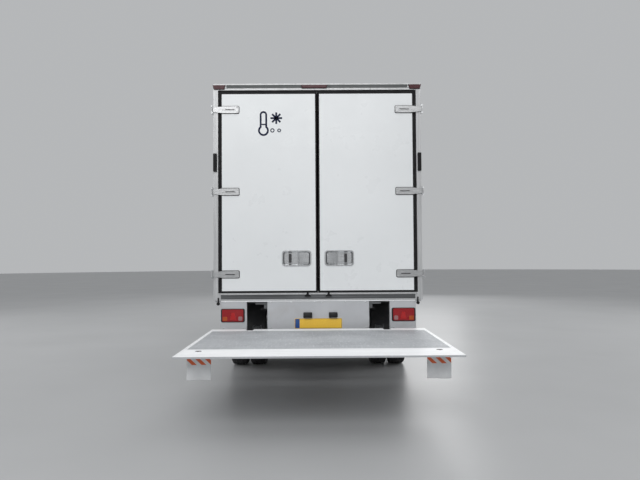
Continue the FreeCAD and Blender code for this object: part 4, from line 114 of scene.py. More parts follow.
# %% [markdown]
# ## Surfaces as arrays
#
# Every new piece is a surface worked out as one array of points. A grid of points needs
# only index arithmetic to become faces, so no loop ever runs over the vertices. A shape
# here is a pair: its points and its faces. Shapes are joined and mirrored as arrays
# before they become one mesh.


# %% Faces from index arithmetic
def grid_faces(rows, columns, wrap_rows=False, wrap_columns=False):
    """Quads of a grid: point (r, c) joins (r, c+1), (r+1, c+1) and (r+1, c), counted round where it wraps."""
    row = np.arange(rows if wrap_rows else rows - 1)[:, None]
    column = np.arange(columns if wrap_columns else columns - 1)[None, :]
    next_row = (row + 1) % rows
    next_column = (column + 1) % columns
    corners = [row * columns + column, row * columns + next_column,
               next_row * columns + next_column, next_row * columns + column]
    quads = [np.broadcast_to(corner, (row.size, column.size)) for corner in corners]
    return np.stack(quads, -1).reshape(-1, 4).tolist()


def grid(points, wrap_rows=False, wrap_columns=False, capped=False):
    """A shape from rows × columns points, with a flat face over the first and the last row if capped."""
    rows, columns = points.shape[:2]
    faces = grid_faces(rows, columns, wrap_rows, wrap_columns)
    if capped:
        faces += [list(range(columns))[::-1], list(range((rows - 1) * columns, rows * columns))]
    return points.reshape(-1, 3), faces


print("a 3 by 4 grid has", len(grid_faces(3, 4)), "faces")


# %% Joining and mirroring shapes
def joined(shapes):
    """Several shapes as one: each one's face numbers move on by the points before it."""
    starts = np.cumsum([0] + [len(points) for points, _ in shapes])
    faces = [[start + i for i in face] for start, (_, part) in zip(starts, shapes) for face in part]
    return np.concatenate([points for points, _ in shapes]), faces


def mirrored(shape):
    """The shape on the truck's other side: each x changes sign."""
    return shape[0] * np.array([-1.0, 1.0, 1.0]), shape[1]


def both_sides(shapes):
    """The shapes and their mirror images."""
    return shapes + [mirrored(shape) for shape in shapes]


def as_drawn(shape):
    """The shape unchanged, for the right side in a loop over both."""
    return shape


SIDES = (("right", as_drawn), ("left", mirrored))
print("sides", [side for side, _ in SIDES])

# %% [markdown]
# ## Profiles carried along a line
#
# Nearly everything on a truck body is a profile with a thickness: plates, lenses, pans,
# rails and bars. One loft makes them all. Its rings are outlines in a plane and a level
# for each, and an edge is eased by starting and ending on a slightly smaller ring.


# %% Outlines
def oblong(width, height, corner, steps=5):
    """A rectangle with round corners: four quarter circles, one about each corner's own centre."""
    quarter = np.linspace(0, np.pi / 2, steps)
    turns = quarter[None, :] + np.arange(4)[:, None] * np.pi / 2
    centres = np.array([[1, 1], [-1, 1], [-1, -1], [1, -1]]) * [width / 2 - corner, height / 2 - corner]
    return (centres[:, None, :] + corner * np.stack([np.cos(turns), np.sin(turns)], -1)).reshape(-1, 2)


def disc(radius, steps=24):
    """A circle: radius times the cosine and sine of equal turns."""
    turns = np.linspace(0, 2 * np.pi, steps, endpoint=False)
    return radius * np.stack([np.cos(turns), np.sin(turns)], -1)


print("an oblong has", len(oblong(1, 1, 0.1)), "points")


# %% Lofts, plates and slabs
def loft(rings, levels, axis, capped=True):
    """Outlines stacked along an axis. For y the outline's pair is (x, z), for z (x, y) and for x (y, z)."""
    rings = np.asarray(rings, float)
    along = np.repeat(np.asarray(levels, float), rings.shape[1])
    first, second = rings.reshape(-1, 2).T
    columns = {"x": (along, first, second), "y": (first, along, second), "z": (first, second, along)}[axis]
    return grid(np.stack(columns, -1).reshape(len(rings), -1, 3), wrap_columns=True, capped=capped)


def shrunk(outline, edge):
    """The outline drawn in by an edge on every side: each half extent loses it, scaled about the middle."""
    middle = (outline.min(0) + outline.max(0)) / 2
    half = (outline.max(0) - outline.min(0)) / 2
    return middle + (outline - middle) * (half - edge) / half


def plate(outline, low, high, axis, edge=0.001):
    """A plate between two levels with eased rims: it starts and ends on the outline shrunk by the edge."""
    small = shrunk(outline, edge)
    return loft([small, outline, outline, small], [low, low + edge, high - edge, high], axis)


def pan_of(rings, centre, surface, steps=5):
    """A loft along y of rounded rectangles about a centre: each ring is a width, height, corner and depth."""
    return loft([oblong(width, height, corner, steps) + centre for width, height, corner, _ in rings],
                [surface + depth for *_, depth in rings], "y")


def ring_between(outer, inner, low, high, axis):
    """A closed band between two outlines of equally many points, from one level to another."""
    points, _ = loft([outer, outer, inner, inner], [low, high, high, low], axis, capped=False)
    return points, grid_faces(4, len(outer), wrap_rows=True, wrap_columns=True)


def slab(low, high, axis="y", corner=0.002, edge=0.001):
    """A box between two corners, as a plate across the axis whose outline has round corners."""
    low, high = np.asarray(low, float), np.asarray(high, float)
    across = {"x": [1, 2], "y": [0, 2], "z": [0, 1]}[axis]
    width, height = (high - low)[across]
    middle = ((high + low) / 2)[across]
    level = "xyz".index(axis)
    return plate(oblong(width, height, corner) + middle, low[level], high[level], axis, edge)


print("a slab has", len(slab((0, 0, 0), (1, 1, 1))[1]), "faces")


# %% Turned and bent shapes
def lathe(profile, centre, axis="x", steps=32, closed=False):
    """A profile of (along, radius) pairs turned about an axis: each pair draws a circle of its radius."""
    profile = np.asarray(profile, float)
    turns = np.linspace(0, 2 * np.pi, steps, endpoint=False)
    along = np.broadcast_to(profile[:, :1], (len(profile), steps))
    across = profile[:, 1:] * np.cos(turns)
    up = profile[:, 1:] * np.sin(turns)
    order = {"x": (along, across, up), "y": (across, along, up), "z": (across, up, along)}[axis]
    return grid(np.stack(order, -1) + np.array(centre), wrap_rows=closed, wrap_columns=True)


def tube(path, radius, sides=10):
    """A round bar along a path: at each point a circle lies across the path's direction, kept level."""
    path = np.asarray(path, float)
    way = np.gradient(path, axis=0)
    way /= np.linalg.norm(way, axis=1, keepdims=True)
    spare = np.where(np.abs(way[:, 2:]) < 0.9, [[0.0, 0.0, 1.0]], [[1.0, 0.0, 0.0]])
    side = np.cross(way, spare)
    side /= np.linalg.norm(side, axis=1, keepdims=True)
    up = np.cross(side, way)
    ring = disc(radius, sides)
    points = path[:, None, :] + ring[None, :, :1] * side[:, None, :] + ring[None, :, 1:] * up[:, None, :]
    return grid(points, wrap_columns=True, capped=True)


def stud(place, radius, height, axis="y", away=-1, steps=10):
    """A round bolt head or rivet: a dome whose height falls off as the square root does at its rim."""
    share = np.array([1.0, 1.0, 0.9, 0.6, 0.0])
    rise = np.array([0.0, 0.45, 0.75, 0.95, 1.0])
    return lathe(np.stack([away * height * rise, radius * share], -1), place, axis, steps)


print("a stud has", len(stud((0, 0, 0), 0.01, 0.005)[1]), "faces")


# %% [markdown]
# ## From shape to piece
#
# A piece is one mesh with one finish that rides on one body. Merging doubled points and
# turning every face outwards once, here, keeps each formula above free to draw its rings
# in whichever direction reads best.

# %% Making a piece
finishes = {}
MERGE_WITHIN = 1e-6


def piece(name, shapes, finish, body, replaces=(), smooth=35):
    """Joins shapes into a mesh, closes and turns it outwards, and gives it a finish and a body to ride on."""
    points, faces = joined(shapes)
    mesh = bpy.data.meshes.new(name)
    mesh.from_pydata(points, [], faces)
    work = bmesh.new()
    work.from_mesh(mesh)
    bmesh.ops.remove_doubles(work, verts=work.verts, dist=MERGE_WITHIN)
    bmesh.ops.recalc_face_normals(work, faces=work.faces)
    work.to_mesh(mesh)
    work.free()
    mesh.shade_smooth()
    mesh.set_sharp_from_angle(angle=math.radians(smooth))
    mesh.materials.append(finishes[finish])
    made = bpy.data.objects.new(name, mesh)
    bpy.context.scene.collection.objects.link(made)
    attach(made, body)
    if replaces:
        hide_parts(*replaces)
    return made


# %% [markdown]
# ## Finishes
#
# Painted panels, brushed steel and moulded rubber differ mostly in how colour, gloss and
# relief drift over the surface. Each finish is a small node tree that reads the object's
# own coordinates, so a pattern stays put when the piece moves. What is the same all over
# is set on the shader itself.


# %% Nodes and empty finishes
def node(tree, kind, settings=None, **inputs):
    """Adds a shader node. A socket given for an input is linked to it, and anything else is its value."""
    made = tree.nodes.new(kind)
    for key, value in (settings or {}).items():
        setattr(made, key, value)
    for key, value in inputs.items():
        target = made.inputs[key.replace("_", " ")]
        if isinstance(value, bpy.types.NodeSocket):
            tree.links.new(value, target)
        else:
            target.default_value = value
    return made


def new_finish(name, colour, roughness, **sockets):
    """An empty finish with its constant values on the shader's sockets."""
    material = bpy.data.materials.new(name)
    material.use_nodes = True
    material.diffuse_color = (*colour, 1)
    shader = material.node_tree.nodes["Principled BSDF"]
    shader.inputs["Base Color"].default_value = (*colour, 1)
    shader.inputs["Roughness"].default_value = roughness
    for key, value in sockets.items():
        shader.inputs[key.replace("_", " ")].default_value = value
    finishes[name] = material
    return material.node_tree, shader


print("finishes so far", len(finishes))


# %% Fields, numbers and colours
def place_on(tree, stretch=(1, 1, 1)):
    """The object's own coordinates, squeezed by a factor along each axis."""
    where = node(tree, "ShaderNodeTexCoord").outputs["Object"]
    return node(tree, "ShaderNodeMapping", Vector=where, Scale=stretch).outputs["Vector"]


def cloud(tree, scale, stretch=(1, 1, 1), detail=4.0):
    """A soft random field from 0 to 1."""
    noise = node(tree, "ShaderNodeTexNoise", Vector=place_on(tree, stretch), Scale=scale, Detail=detail)
    return noise.outputs["Fac"]


def ramp(tree, amount, stops):
    """Colours laid along the numbers from 0 to 1."""
    made = node(tree, "ShaderNodeValToRGB", Fac=amount)
    bar = made.color_ramp
    while len(bar.elements) < len(stops):
        bar.elements.new(1.0)
    for element, (place, colour) in zip(bar.elements, stops):
        element.position = place
        element.color = (*colour, 1)
    return made.outputs["Color"]


def span(tree, amount, low, high, start=0.3, end=0.7):
    """A number that runs from low to high while the amount runs from start to end."""
    return node(tree, "ShaderNodeMapRange", Value=amount, From_Min=start, From_Max=end,
                To_Min=low, To_Max=high).outputs["Result"]


def mixed(tree, amount, first, second):
    """One colour over another by an amount."""
    made = node(tree, "ShaderNodeMix", {"data_type": "RGBA"})
    tree.links.new(amount, made.inputs[0])
    for socket, value in ((made.inputs[6], first), (made.inputs[7], second)):
        if isinstance(value, bpy.types.NodeSocket):
            tree.links.new(value, socket)
        else:
            socket.default_value = (*value, 1)
    return made.outputs[2]


print("ready: place_on, cloud, ramp, span and mixed")


# %% Relief, arithmetic and links
def relief(tree, shader, height, depth):
    """Tilts the shading as if the surface rose by that depth where the height is 1."""
    bump = node(tree, "ShaderNodeBump", Height=height, Distance=depth, Strength=1.0)
    tree.links.new(bump.outputs["Normal"], shader.inputs["Normal"])


def maths(tree, operation, first, second):
    """Two numbers combined into one by an operation, such as MULTIPLY or MAXIMUM."""
    made = node(tree, "ShaderNodeMath", {"operation": operation})
    tree.links.new(first, made.inputs[0])
    tree.links.new(second, made.inputs[1])
    return made.outputs[0]


def crossed_waves(tree, ways, scale, distortion=0.0):
    """Two waves multiplied: the result is high only where both are, once for each crossing."""
    waves = [node(tree, "ShaderNodeTexWave", {"bands_direction": way}, Vector=place_on(tree), Scale=scale,
                  Distortion=distortion).outputs["Fac"] for way in ways]
    return maths(tree, "MULTIPLY", *waves)


def wire(tree, shader, **sources):
    """Links what nodes give to the shader's sockets, named with an underscore for each space."""
    for key, source in sources.items():
        tree.links.new(source, shader.inputs[key.replace("_", " ")])


print("ready: relief, maths, crossed_waves and wire")

# %% A plain finish
DUST = (0.32, 0.29, 0.25)


def coat(name, dark, light, gloss, patch, grain, depth, dust=0.0, stretch=(1, 1, 1), **sockets):
    """A finish whose colour drifts with a broad cloud and whose gloss with one seven times finer, with grain
    in relief. Road dust lies in spots, a third of the broad cloud's size."""
    tree, shader = new_finish(name, light, gloss[0], **sockets)
    colour = ramp(tree, cloud(tree, patch, stretch), [(0.3, dark), (0.7, light)])
    if dust:
        spots = span(tree, cloud(tree, patch * 3.1, detail=8.0), 0.0, dust, 0.5, 0.8)
        colour = mixed(tree, spots, colour, DUST)
    wire(tree, shader, Base_Color=colour, Roughness=span(tree, cloud(tree, patch * 7, stretch), *gloss))
    relief(tree, shader, cloud(tree, grain, stretch, 2.0), depth)


print("road dust is", DUST)

# %% [markdown]
# ## Paint, metal, plastic and rubber
#
# The table gives each plain finish its darker and lighter tone, its range of roughness,
# how fine its cloud and its grain are, and how deep the grain is. Some have dust or a
# shader value of their own. Brushed metal is a cloud drawn out along one axis. A laminated
# white wall is glossy and only just uneven, which is enough to make long reflections
# wander as they do on the real panel.

# %% Plain finishes
COATS = {
    "panel_white": ((0.80, 0.81, 0.82), (0.86, 0.87, 0.88), (0.24, 0.34), 0.7, 9, 0.0006, dict()),
    "door_white": ((0.79, 0.81, 0.82), (0.84, 0.86, 0.87), (0.26, 0.36), 0.8, 7, 0.0005, dict()),
    "cab_white": ((0.81, 0.82, 0.84), (0.86, 0.87, 0.88), (0.16, 0.24), 1.1, 900, 0.00002,
        dict(Coat_Weight=0.6, Coat_Roughness=0.06)),
    "unit_white": ((0.77, 0.78, 0.79), (0.83, 0.84, 0.85), (0.34, 0.46), 2.0, 700, 0.00006,
        dict(dust=0.12)),
    "apron_grey": ((0.46, 0.47, 0.49), (0.54, 0.55, 0.57), (0.4, 0.54), 2.2, 800, 0.00004,
        dict(dust=0.2, Metallic=0.15)),
    "frame_silver": ((0.42, 0.425, 0.43), (0.54, 0.545, 0.55), (0.36, 0.5), 9, 90, 0.00004,
        dict(stretch=(6, 6, 0.25), Metallic=0.4)),
    "band_grey": ((0.055, 0.06, 0.06), (0.095, 0.10, 0.10), (0.4, 0.56), 7, 100, 0.00004,
        dict(stretch=(0.25, 4, 4), Metallic=0.4)),
    "anodised": ((0.60, 0.61, 0.63), (0.72, 0.73, 0.75), (0.3, 0.44), 6, 120, 0.00003,
        dict(stretch=(3, 0.2, 3), Metallic=0.9)),
    "stainless": ((0.55, 0.56, 0.57), (0.70, 0.71, 0.72), (0.18, 0.34), 30, 160, 0.00003,
        dict(stretch=(0.3, 4, 4), Metallic=1.0)),
    "strap_steel": ((0.36, 0.365, 0.37), (0.52, 0.525, 0.53), (0.3, 0.46), 40, 160, 0.00004,
        dict(stretch=(0.5, 4, 3), Metallic=0.75)),
    "galvanised": ((0.40, 0.42, 0.43), (0.56, 0.58, 0.59), (0.38, 0.56), 26, 60, 0.00008,
        dict(dust=0.25, Metallic=0.8)),
    "chassis_paint": ((0.045, 0.047, 0.05), (0.08, 0.083, 0.088), (0.4, 0.62), 4, 500, 0.00006,
        dict(dust=0.5)),
    "lift_paint": ((0.10, 0.105, 0.11), (0.15, 0.155, 0.165), (0.35, 0.52), 4, 500, 0.00005,
        dict(dust=0.35)),
    "spring_steel": ((0.035, 0.035, 0.038), (0.07, 0.07, 0.074), (0.5, 0.7), 8, 300, 0.00008,
        dict(dust=0.6)),
    "engine_grey": ((0.15, 0.155, 0.16), (0.23, 0.235, 0.245), (0.55, 0.75), 6, 220, 0.0003,
        dict(dust=0.4)),
    "exhaust_steel": ((0.22, 0.19, 0.16), (0.40, 0.38, 0.36), (0.4, 0.62), 9, 200, 0.0001,
        dict(dust=0.3, Metallic=0.9)),
    "tank_alloy": ((0.50, 0.51, 0.52), (0.63, 0.64, 0.65), (0.28, 0.46), 7, 130, 0.00004,
        dict(stretch=(3, 0.3, 3), dust=0.2, Metallic=0.95)),
    "guard_alloy": ((0.60, 0.61, 0.62), (0.70, 0.71, 0.72), (0.3, 0.45), 6, 120, 0.00003,
        dict(stretch=(3, 0.2, 3), dust=0.15, Metallic=0.9)),
    "rim_silver": ((0.50, 0.51, 0.52), (0.62, 0.63, 0.64), (0.3, 0.48), 8, 600, 0.00004,
        dict(dust=0.35, Metallic=0.5)),
    "black_rubber": ((0.006, 0.006, 0.007), (0.012, 0.012, 0.013), (0.62, 0.78), 10, 700, 0.0001,
        dict(dust=0.04, Specular_IOR_Level=0.25)),
    "black_plastic": ((0.022, 0.022, 0.024), (0.04, 0.04, 0.043), (0.42, 0.58), 6, 900, 0.00012,
        dict(dust=0.1)),
    "bumper_plastic": ((0.075, 0.077, 0.08), (0.11, 0.112, 0.116), (0.46, 0.6), 4, 800, 0.00014,
        dict(dust=0.1)),
    "dash_plastic": ((0.05, 0.05, 0.053), (0.08, 0.08, 0.084), (0.5, 0.64), 6, 700, 0.00014, dict()),
    "rod_chrome": ((0.70, 0.70, 0.71), (0.80, 0.80, 0.81), (0.05, 0.12), 20, 400, 0.00001,
        dict(Metallic=1.0)),
    "lip_alloy": ((0.84, 0.85, 0.86), (0.93, 0.94, 0.95), (0.4, 0.55), 5, 90, 0.00008,
        dict(stretch=(0.3, 4, 4), dust=0.05, Metallic=0.15)),
    "lamp_housing": ((0.007, 0.007, 0.008), (0.014, 0.014, 0.015), (0.4, 0.55), 9, 900, 0.00004,
        dict(Specular_IOR_Level=0.3)),
    "sill_grey": ((0.085, 0.088, 0.09), (0.14, 0.145, 0.15), (0.34, 0.5), 7, 100, 0.00004,
        dict(stretch=(0.25, 4, 4), Metallic=0.6)),
    "sign_navy": ((0.002, 0.005, 0.030), (0.003, 0.010, 0.048), (0.5, 0.6), 5, 500, 0.00003,
        dict(Specular_IOR_Level=0.2)),
    "tread_grey": ((0.16, 0.16, 0.165), (0.24, 0.24, 0.245), (0.45, 0.65), 9, 300, 0.0001,
        dict(dust=0.2, Metallic=0.6)),
}
for name, (*values, extras) in COATS.items():
    coat(name, *values, **extras)
print(len(COATS), "plain finishes")

# %% [markdown]
# ## Lenses and glass
#
# A lamp lens is coloured or clear plastic with a grid of small prisms on its inner face.
# Crossed waves in the relief break the gloss into the same little squares. Side windows
# are lightly tinted safety glass, so they let light through and mirror the studio.


# %% Lens and glass finishes
WAVE_REPEAT = 0.314
PRISM, FINE_PRISM = 0.012, 0.006


def lens(name, colour, pitch=PRISM):
    """Coloured plastic whose relief is one wave across and one wave up, a prism for each crossing. A Wave
    Texture of scale 1 repeats every .314 m, so the scale is that over the pitch."""
    tree, shader = new_finish(name, colour, 0.3, Coat_Weight=0.15, Coat_Roughness=0.08,
                              Specular_IOR_Level=0.3)
    prisms = crossed_waves(tree, ("X", "Z"), WAVE_REPEAT / pitch)
    deep = tuple(0.45 * part for part in colour)
    wire(tree, shader, Base_Color=ramp(tree, prisms, [(0.0, deep), (0.8, colour)]))
    relief(tree, shader, prisms, 0.0012)


def glass(name, colour):
    """Clear or tinted glass: light passes, and a faint cloud of dust dulls the gloss in patches."""
    tree, shader = new_finish(name, colour, 0.03, Transmission_Weight=1.0, IOR=1.45)
    wire(tree, shader, Roughness=span(tree, cloud(tree, 3.0), 0.01, 0.07))


lens("red_lens", (0.46, 0.004, 0.010))
lens("marker_red", (0.085, 0.004, 0.010))
lens("reflector_red", (0.72, 0.012, 0.014), FINE_PRISM)
lens("amber_lens", (0.66, 0.11, 0.012))
lens("clear_lens", (0.52, 0.26, 0.27))
lens("lamp_clear", (0.72, 0.74, 0.75))
glass("window_glass", (0.80, 0.88, 0.86))
glass("lamp_glass", (0.92, 0.94, 0.95))
tree, shader = new_finish("mirror_face", (0.82, 0.83, 0.84), 0.02, Metallic=1.0)
wire(tree, shader, Roughness=span(tree, cloud(tree, 6.0), 0.01, 0.05))
print("lenses", [name for name in finishes if name.endswith("lens")])

# %% [markdown]
# ## Tyres, cloth, deck and plate
#
# These need a pattern of their own. Tyre walls are dull with dust caught in the middle.
# Seat cloth is a weave of two waves that cross. The load floor and the lift deck are
# worn aluminium with scuffs that run the way goods are rolled. A blank number plate is
# reflective sheet, which shows a fine honeycomb close up.

# %% Tyre rubber and seat cloth
tree, shader = new_finish("tyre_rubber", (0.028, 0.028, 0.03), 0.7)
dusty = span(tree, cloud(tree, 9.0, detail=8.0), 0.0, 0.22, 0.45, 0.75)
wire(tree, shader, Base_Color=mixed(tree, dusty, (0.034, 0.034, 0.036), (0.16, 0.15, 0.14)),
     Roughness=span(tree, cloud(tree, 40.0), 0.58, 0.82))
relief(tree, shader, cloud(tree, 500.0), 0.0001)

tree, shader = new_finish("seat_cloth", (0.07, 0.075, 0.085), 0.9, Sheen_Weight=0.4, Sheen_Roughness=0.4)
weave = crossed_waves(tree, ("X", "DIAGONAL"), 110.0, 0.6)
wire(tree, shader, Base_Color=ramp(tree, weave, [(0.1, (0.035, 0.04, 0.05)), (0.8, (0.1, 0.105, 0.12))]))
relief(tree, shader, weave, 0.0008)
print("dust on the tyres and a weave on the seats")


# %% Worn aluminium
def worn_alloy(name, dark, light, scuff):
    """Aluminium underfoot: cloudy colour, with pale scuffs drawn out along the truck."""
    tree, shader = new_finish(name, light, 0.45, Metallic=0.6)
    base = ramp(tree, cloud(tree, 3.0, detail=8.0), [(0.3, dark), (0.7, light)])
    marks = span(tree, cloud(tree, 14.0, (4, 0.5, 4), 6.0), 0.0, 0.6, 0.56, 0.7)
    wire(tree, shader, Base_Color=mixed(tree, marks, base, scuff),
         Roughness=span(tree, cloud(tree, 18.0, (3, 0.6, 3)), 0.36, 0.6))
    relief(tree, shader, cloud(tree, 160.0, detail=3.0), 0.0002)


worn_alloy("deck_alloy", (0.44, 0.455, 0.475), (0.55, 0.565, 0.585), (0.66, 0.67, 0.69))
worn_alloy("floor_deck", (0.40, 0.41, 0.42), (0.52, 0.53, 0.54), (0.62, 0.63, 0.64))
print("worn alloys", [name for name in finishes if name.endswith("deck") or name.startswith("deck")])

# %% Plate sheet
tree, shader = new_finish("plate_yellow", (0.95, 0.60, 0.05), 0.4, Coat_Weight=0.1, Coat_Roughness=0.2)
comb = node(tree, "ShaderNodeTexVoronoi", {"feature": "DISTANCE_TO_EDGE"}, Vector=place_on(tree), Scale=260.0)
cells = comb.outputs["Distance"]
wire(tree, shader, Base_Color=ramp(tree, cells, [(0.0, (0.84, 0.50, 0.04)), (0.12, (0.95, 0.60, 0.06))]))
relief(tree, shader, cells, 0.0003)
tree, shader = new_finish("plate_blue", (0.01, 0.06, 0.35), 0.35)
drift = ramp(tree, cloud(tree, 60.0), [(0.3, (0.008, 0.06, 0.24)), (0.7, (0.012, 0.08, 0.31))])
wire(tree, shader, Base_Color=drift)
print("patterned finishes too, so now", len(finishes))

# %% [markdown]
# The warning flags are white coated cloth with slanting red-orange bars across their top.
# The bars are one wave across a diagonal, cut sharp by a steep ramp, and a height on the
# flag's own map decides where they stop. The coating itself has a very fine grain in relief.

# %% Flag cloth
tree, shader = new_finish("flag_cloth", (0.82, 0.83, 0.84), 0.5, Sheen_Weight=0.1)
on_flag = node(tree, "ShaderNodeUVMap").outputs["UV"]
height = node(tree, "ShaderNodeSeparateXYZ", Vector=on_flag).outputs["Y"]
slant = node(tree, "ShaderNodeTexWave", {"bands_direction": "DIAGONAL"}, Vector=on_flag, Scale=1.6,
             Distortion=0.0).outputs["Fac"]
stripes = span(tree, slant, 0.0, 1.0, 0.48, 0.52)
bars = maths(tree, "MULTIPLY", stripes, span(tree, height, 0.0, 1.0, 0.66, 0.67))
cloth = ramp(tree, cloud(tree, 12.0), [(0.3, (0.74, 0.75, 0.76)), (0.7, (0.84, 0.85, 0.86))])
wire(tree, shader, Base_Color=mixed(tree, bars, cloth, (0.78, 0.14, 0.04)))
relief(tree, shader, cloud(tree, 900.0), 0.0001)
print("flag bars cover the top third")

# %% [markdown]
# ## Finishes for the construction parts
#
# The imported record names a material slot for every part. Each slot has the name of a
# finish above, and every part takes the finish of its slot.

# %% Dress the construction parts
for row in record["subparts"]:
    shown = frame["nodes"][row["node"]]
    shown.data.materials.clear()
    shown.data.materials.append(finishes[row["material_slot"]])
print(len(record["subparts"]), "parts dressed")

# %% [markdown]
# ## The studio
#
# A plain pale floor and a plain pale world keep the eye on the truck. The world is a
# little brighter to the camera and to mirrors than as a lamp, which Light Path tells
# apart. Large soft lamps above, behind and beside model white panels without hard shadows.

# %% Floor
FLOOR_RADIUS, FLOOR_SIDES = 60.0, 64
tree, shader = new_finish("studio_floor", (0.70, 0.71, 0.72), 0.3)
floor_tone = ramp(tree, cloud(tree, 0.6), [(0.3, (0.40, 0.405, 0.41)), (0.7, (0.43, 0.435, 0.44))])
wire(tree, shader, Base_Color=floor_tone, Roughness=span(tree, cloud(tree, 0.8), 0.36, 0.40))
floor_mesh = bpy.data.meshes.new("studio_floor")
floor_ring = np.pad(disc(FLOOR_RADIUS, FLOOR_SIDES), ((0, 0), (0, 1)))
floor_mesh.from_pydata(floor_ring, [], [list(range(FLOOR_SIDES))])
floor_mesh.materials.append(finishes["studio_floor"])
floor = bpy.data.objects.new("studio_floor", floor_mesh)
bpy.context.scene.collection.objects.link(floor)
print("floor radius", FLOOR_RADIUS)

# %% World
SKY, SKY_AS_LAMP, SKY_SEEN = (0.93, 0.95, 0.97, 1), 0.46, 0.50
world = bpy.data.worlds.new("studio_world")
bpy.context.scene.world = world
world.use_nodes = True
sky = world.node_tree
ray = node(sky, "ShaderNodeLightPath").outputs
seen = maths(sky, "MAXIMUM", ray["Is Camera Ray"], ray["Is Glossy Ray"])
seen = maths(sky, "MAXIMUM", seen, ray["Is Transmission Ray"])
bright = node(sky, "ShaderNodeMapRange", Value=seen, To_Min=SKY_AS_LAMP, To_Max=SKY_SEEN)
backdrop = sky.nodes["Background"]
backdrop.inputs["Color"].default_value = SKY
sky.links.new(bright.outputs["Result"], backdrop.inputs["Strength"])
print("the sky as a lamp", SKY_AS_LAMP, "and seen", SKY_SEEN)


# %% Lamps
def lamp(name, place, aim, size, power):
    """A square soft lamp at a place, turned so that its face looks at the aim."""
    data = bpy.data.lights.new(name, "AREA")
    data.size = size
    data.energy = power
    made = bpy.data.objects.new(name, data)
    bpy.context.scene.collection.objects.link(made)
    way = np.array(aim, float) - np.array(place, float)
    level = math.hypot(way[0], way[1])
    made.matrix_world = (Matrix.Translation(place)
                         @ Matrix.Rotation(math.atan2(way[1], way[0]) - math.pi / 2, 4, "Z")
                         @ Matrix.Rotation(math.pi / 2 + math.atan2(way[2], level), 4, "X"))


lamp("overhead", (0, -1, 8.5), (0, 0, 0), 9, 170)
lamp("behind_camera", (-1.5, -13, 8.0), (0, REAR, 1.2), 8, 715)
lamp("right_side", (10, 1, 4.5), (0, 0, 1.2), 7, 260)
lamp("left_side", (-10, 1, 4.5), (0, 0, 1.2), 7, 260)
lamp("ahead", (2, 12, 5), (0, 3, 1.2), 6, 280)

# %% [markdown]
# ## Door hardware
#
# Each rear door hangs on three pressed stainless straps. A strap is flat where it is
# bolted to the leaf and narrows past the rubber to a knuckle round its pin. The recessed
# handle is a deep-drawn pan with a lever and its lock block, so nothing catches on a dock.

# %% Straps and their painted shade
STRAP_HEIGHTS = (1.192, 2.1025, 3.013)
STRAP_START, STRAP_BEND, PIN_X = 0.867, 1.056, 1.162
PIN_Y = REAR - 0.020
RIB_X = STRAP_START + 0.098


def strap(level):
    """One strap: a plate narrowing past the bend, its rib, knuckle and web, and three bolt heads."""
    tall, tip, corner = 0.038, 0.025, 0.012
    quarter = np.linspace(0, np.pi / 2, 5)
    nose = np.stack([STRAP_START + corner - corner * np.sin(quarter),
                     tall - corner + corner * np.cos(quarter)], -1)
    past_bend = [[PIN_X, tip], [STRAP_BEND + 0.01, tall - 0.003], [STRAP_BEND - 0.01, tall]]
    upper = np.concatenate([past_bend, nose])
    outline = np.concatenate([upper, upper[::-1] * [1, -1]]) + [0, level]
    knuckle = [(-0.026, 0.004), (-0.026, 0.0092), (-0.0252, 0.010),
               (0.0252, 0.010), (0.026, 0.0092), (0.026, 0.004)]
    bolts = ((0.018, 0.024), (0.018, -0.024), (0.178, 0.0))
    return [plate(outline, REAR - 0.012, REAR, "y", 0.0012),
            plate(oblong(0.13, 0.024, 0.010) + [RIB_X, level], REAR - 0.0145, REAR - 0.010, "y", 0.002),
            lathe(knuckle, (PIN_X, PIN_Y, level), "z", 20, closed=True),
            slab((PIN_X - 0.010, PIN_Y, level - tip), (PIN_X, REAR - 0.006, level + tip)),
            *(stud((STRAP_START + x, REAR - 0.012, level + z), 0.008, 0.0045) for x, z in bolts)]


def strap_shade_pad(level):
    """Painted shade at a strap: the rim of a black rubber pad a little larger than the strap paints its
    shadow outline, and a black inlay on its rib paints the shade in the slot pressed into it.
    """
    pad = oblong(0.206, 0.088, 0.016) + [STRAP_START + 0.097, level]
    slot = oblong(0.105, 0.009, 0.004) + [RIB_X, level]
    return [plate(pad, REAR - 0.0035, REAR, "y", 0.0008),
            plate(slot, REAR - 0.0149, REAR - 0.0140, "y", 0.0002)]


print("straps at", STRAP_HEIGHTS)

# %% Handle and lock
HANDLE_X, HANDLE_Z, LOCK_X = 0.235, 1.366, 0.307


def handle():
    """The pan's rings turn in at its lip and down to its floor. The lever's depth grows with the square of
    the way along it."""
    rings = [(0.292, 0.142, 0.024, 0.0315), (0.296, 0.146, 0.026, 0.0005), (0.324, 0.174, 0.036, 0.0),
             (0.324, 0.174, 0.036, -0.006), (0.320, 0.170, 0.035, -0.008), (0.298, 0.148, 0.028, -0.008),
             (0.292, 0.142, 0.026, -0.004), (0.286, 0.136, 0.024, 0.022), (0.274, 0.124, 0.020, 0.028)]
    along = np.linspace(0, 1, 9)
    line = np.stack([0.098 + 0.112 * along, REAR - 0.002 + 0.018 * along ** 2], -1)
    thick = np.concatenate([line, (line + [0, 0.006])[::-1]])
    lever = loft([thick, thick], [HANDLE_Z - 0.044, HANDLE_Z + 0.044], "z")
    grip = slab((0.100, REAR - 0.0045, HANDLE_Z - 0.040),
                (0.112, REAR + 0.012, HANDLE_Z + 0.040), "y", 0.004, 0.002)
    spindle = [(-0.066, 0.0), (-0.066, 0.007), (0.066, 0.007), (0.066, 0.0)]
    return [pan_of(rings, [HANDLE_X, HANDLE_Z], REAR, 7), lever, grip,
            lathe(spindle, (0.214, REAR + 0.016, HANDLE_Z), "z", 16)]


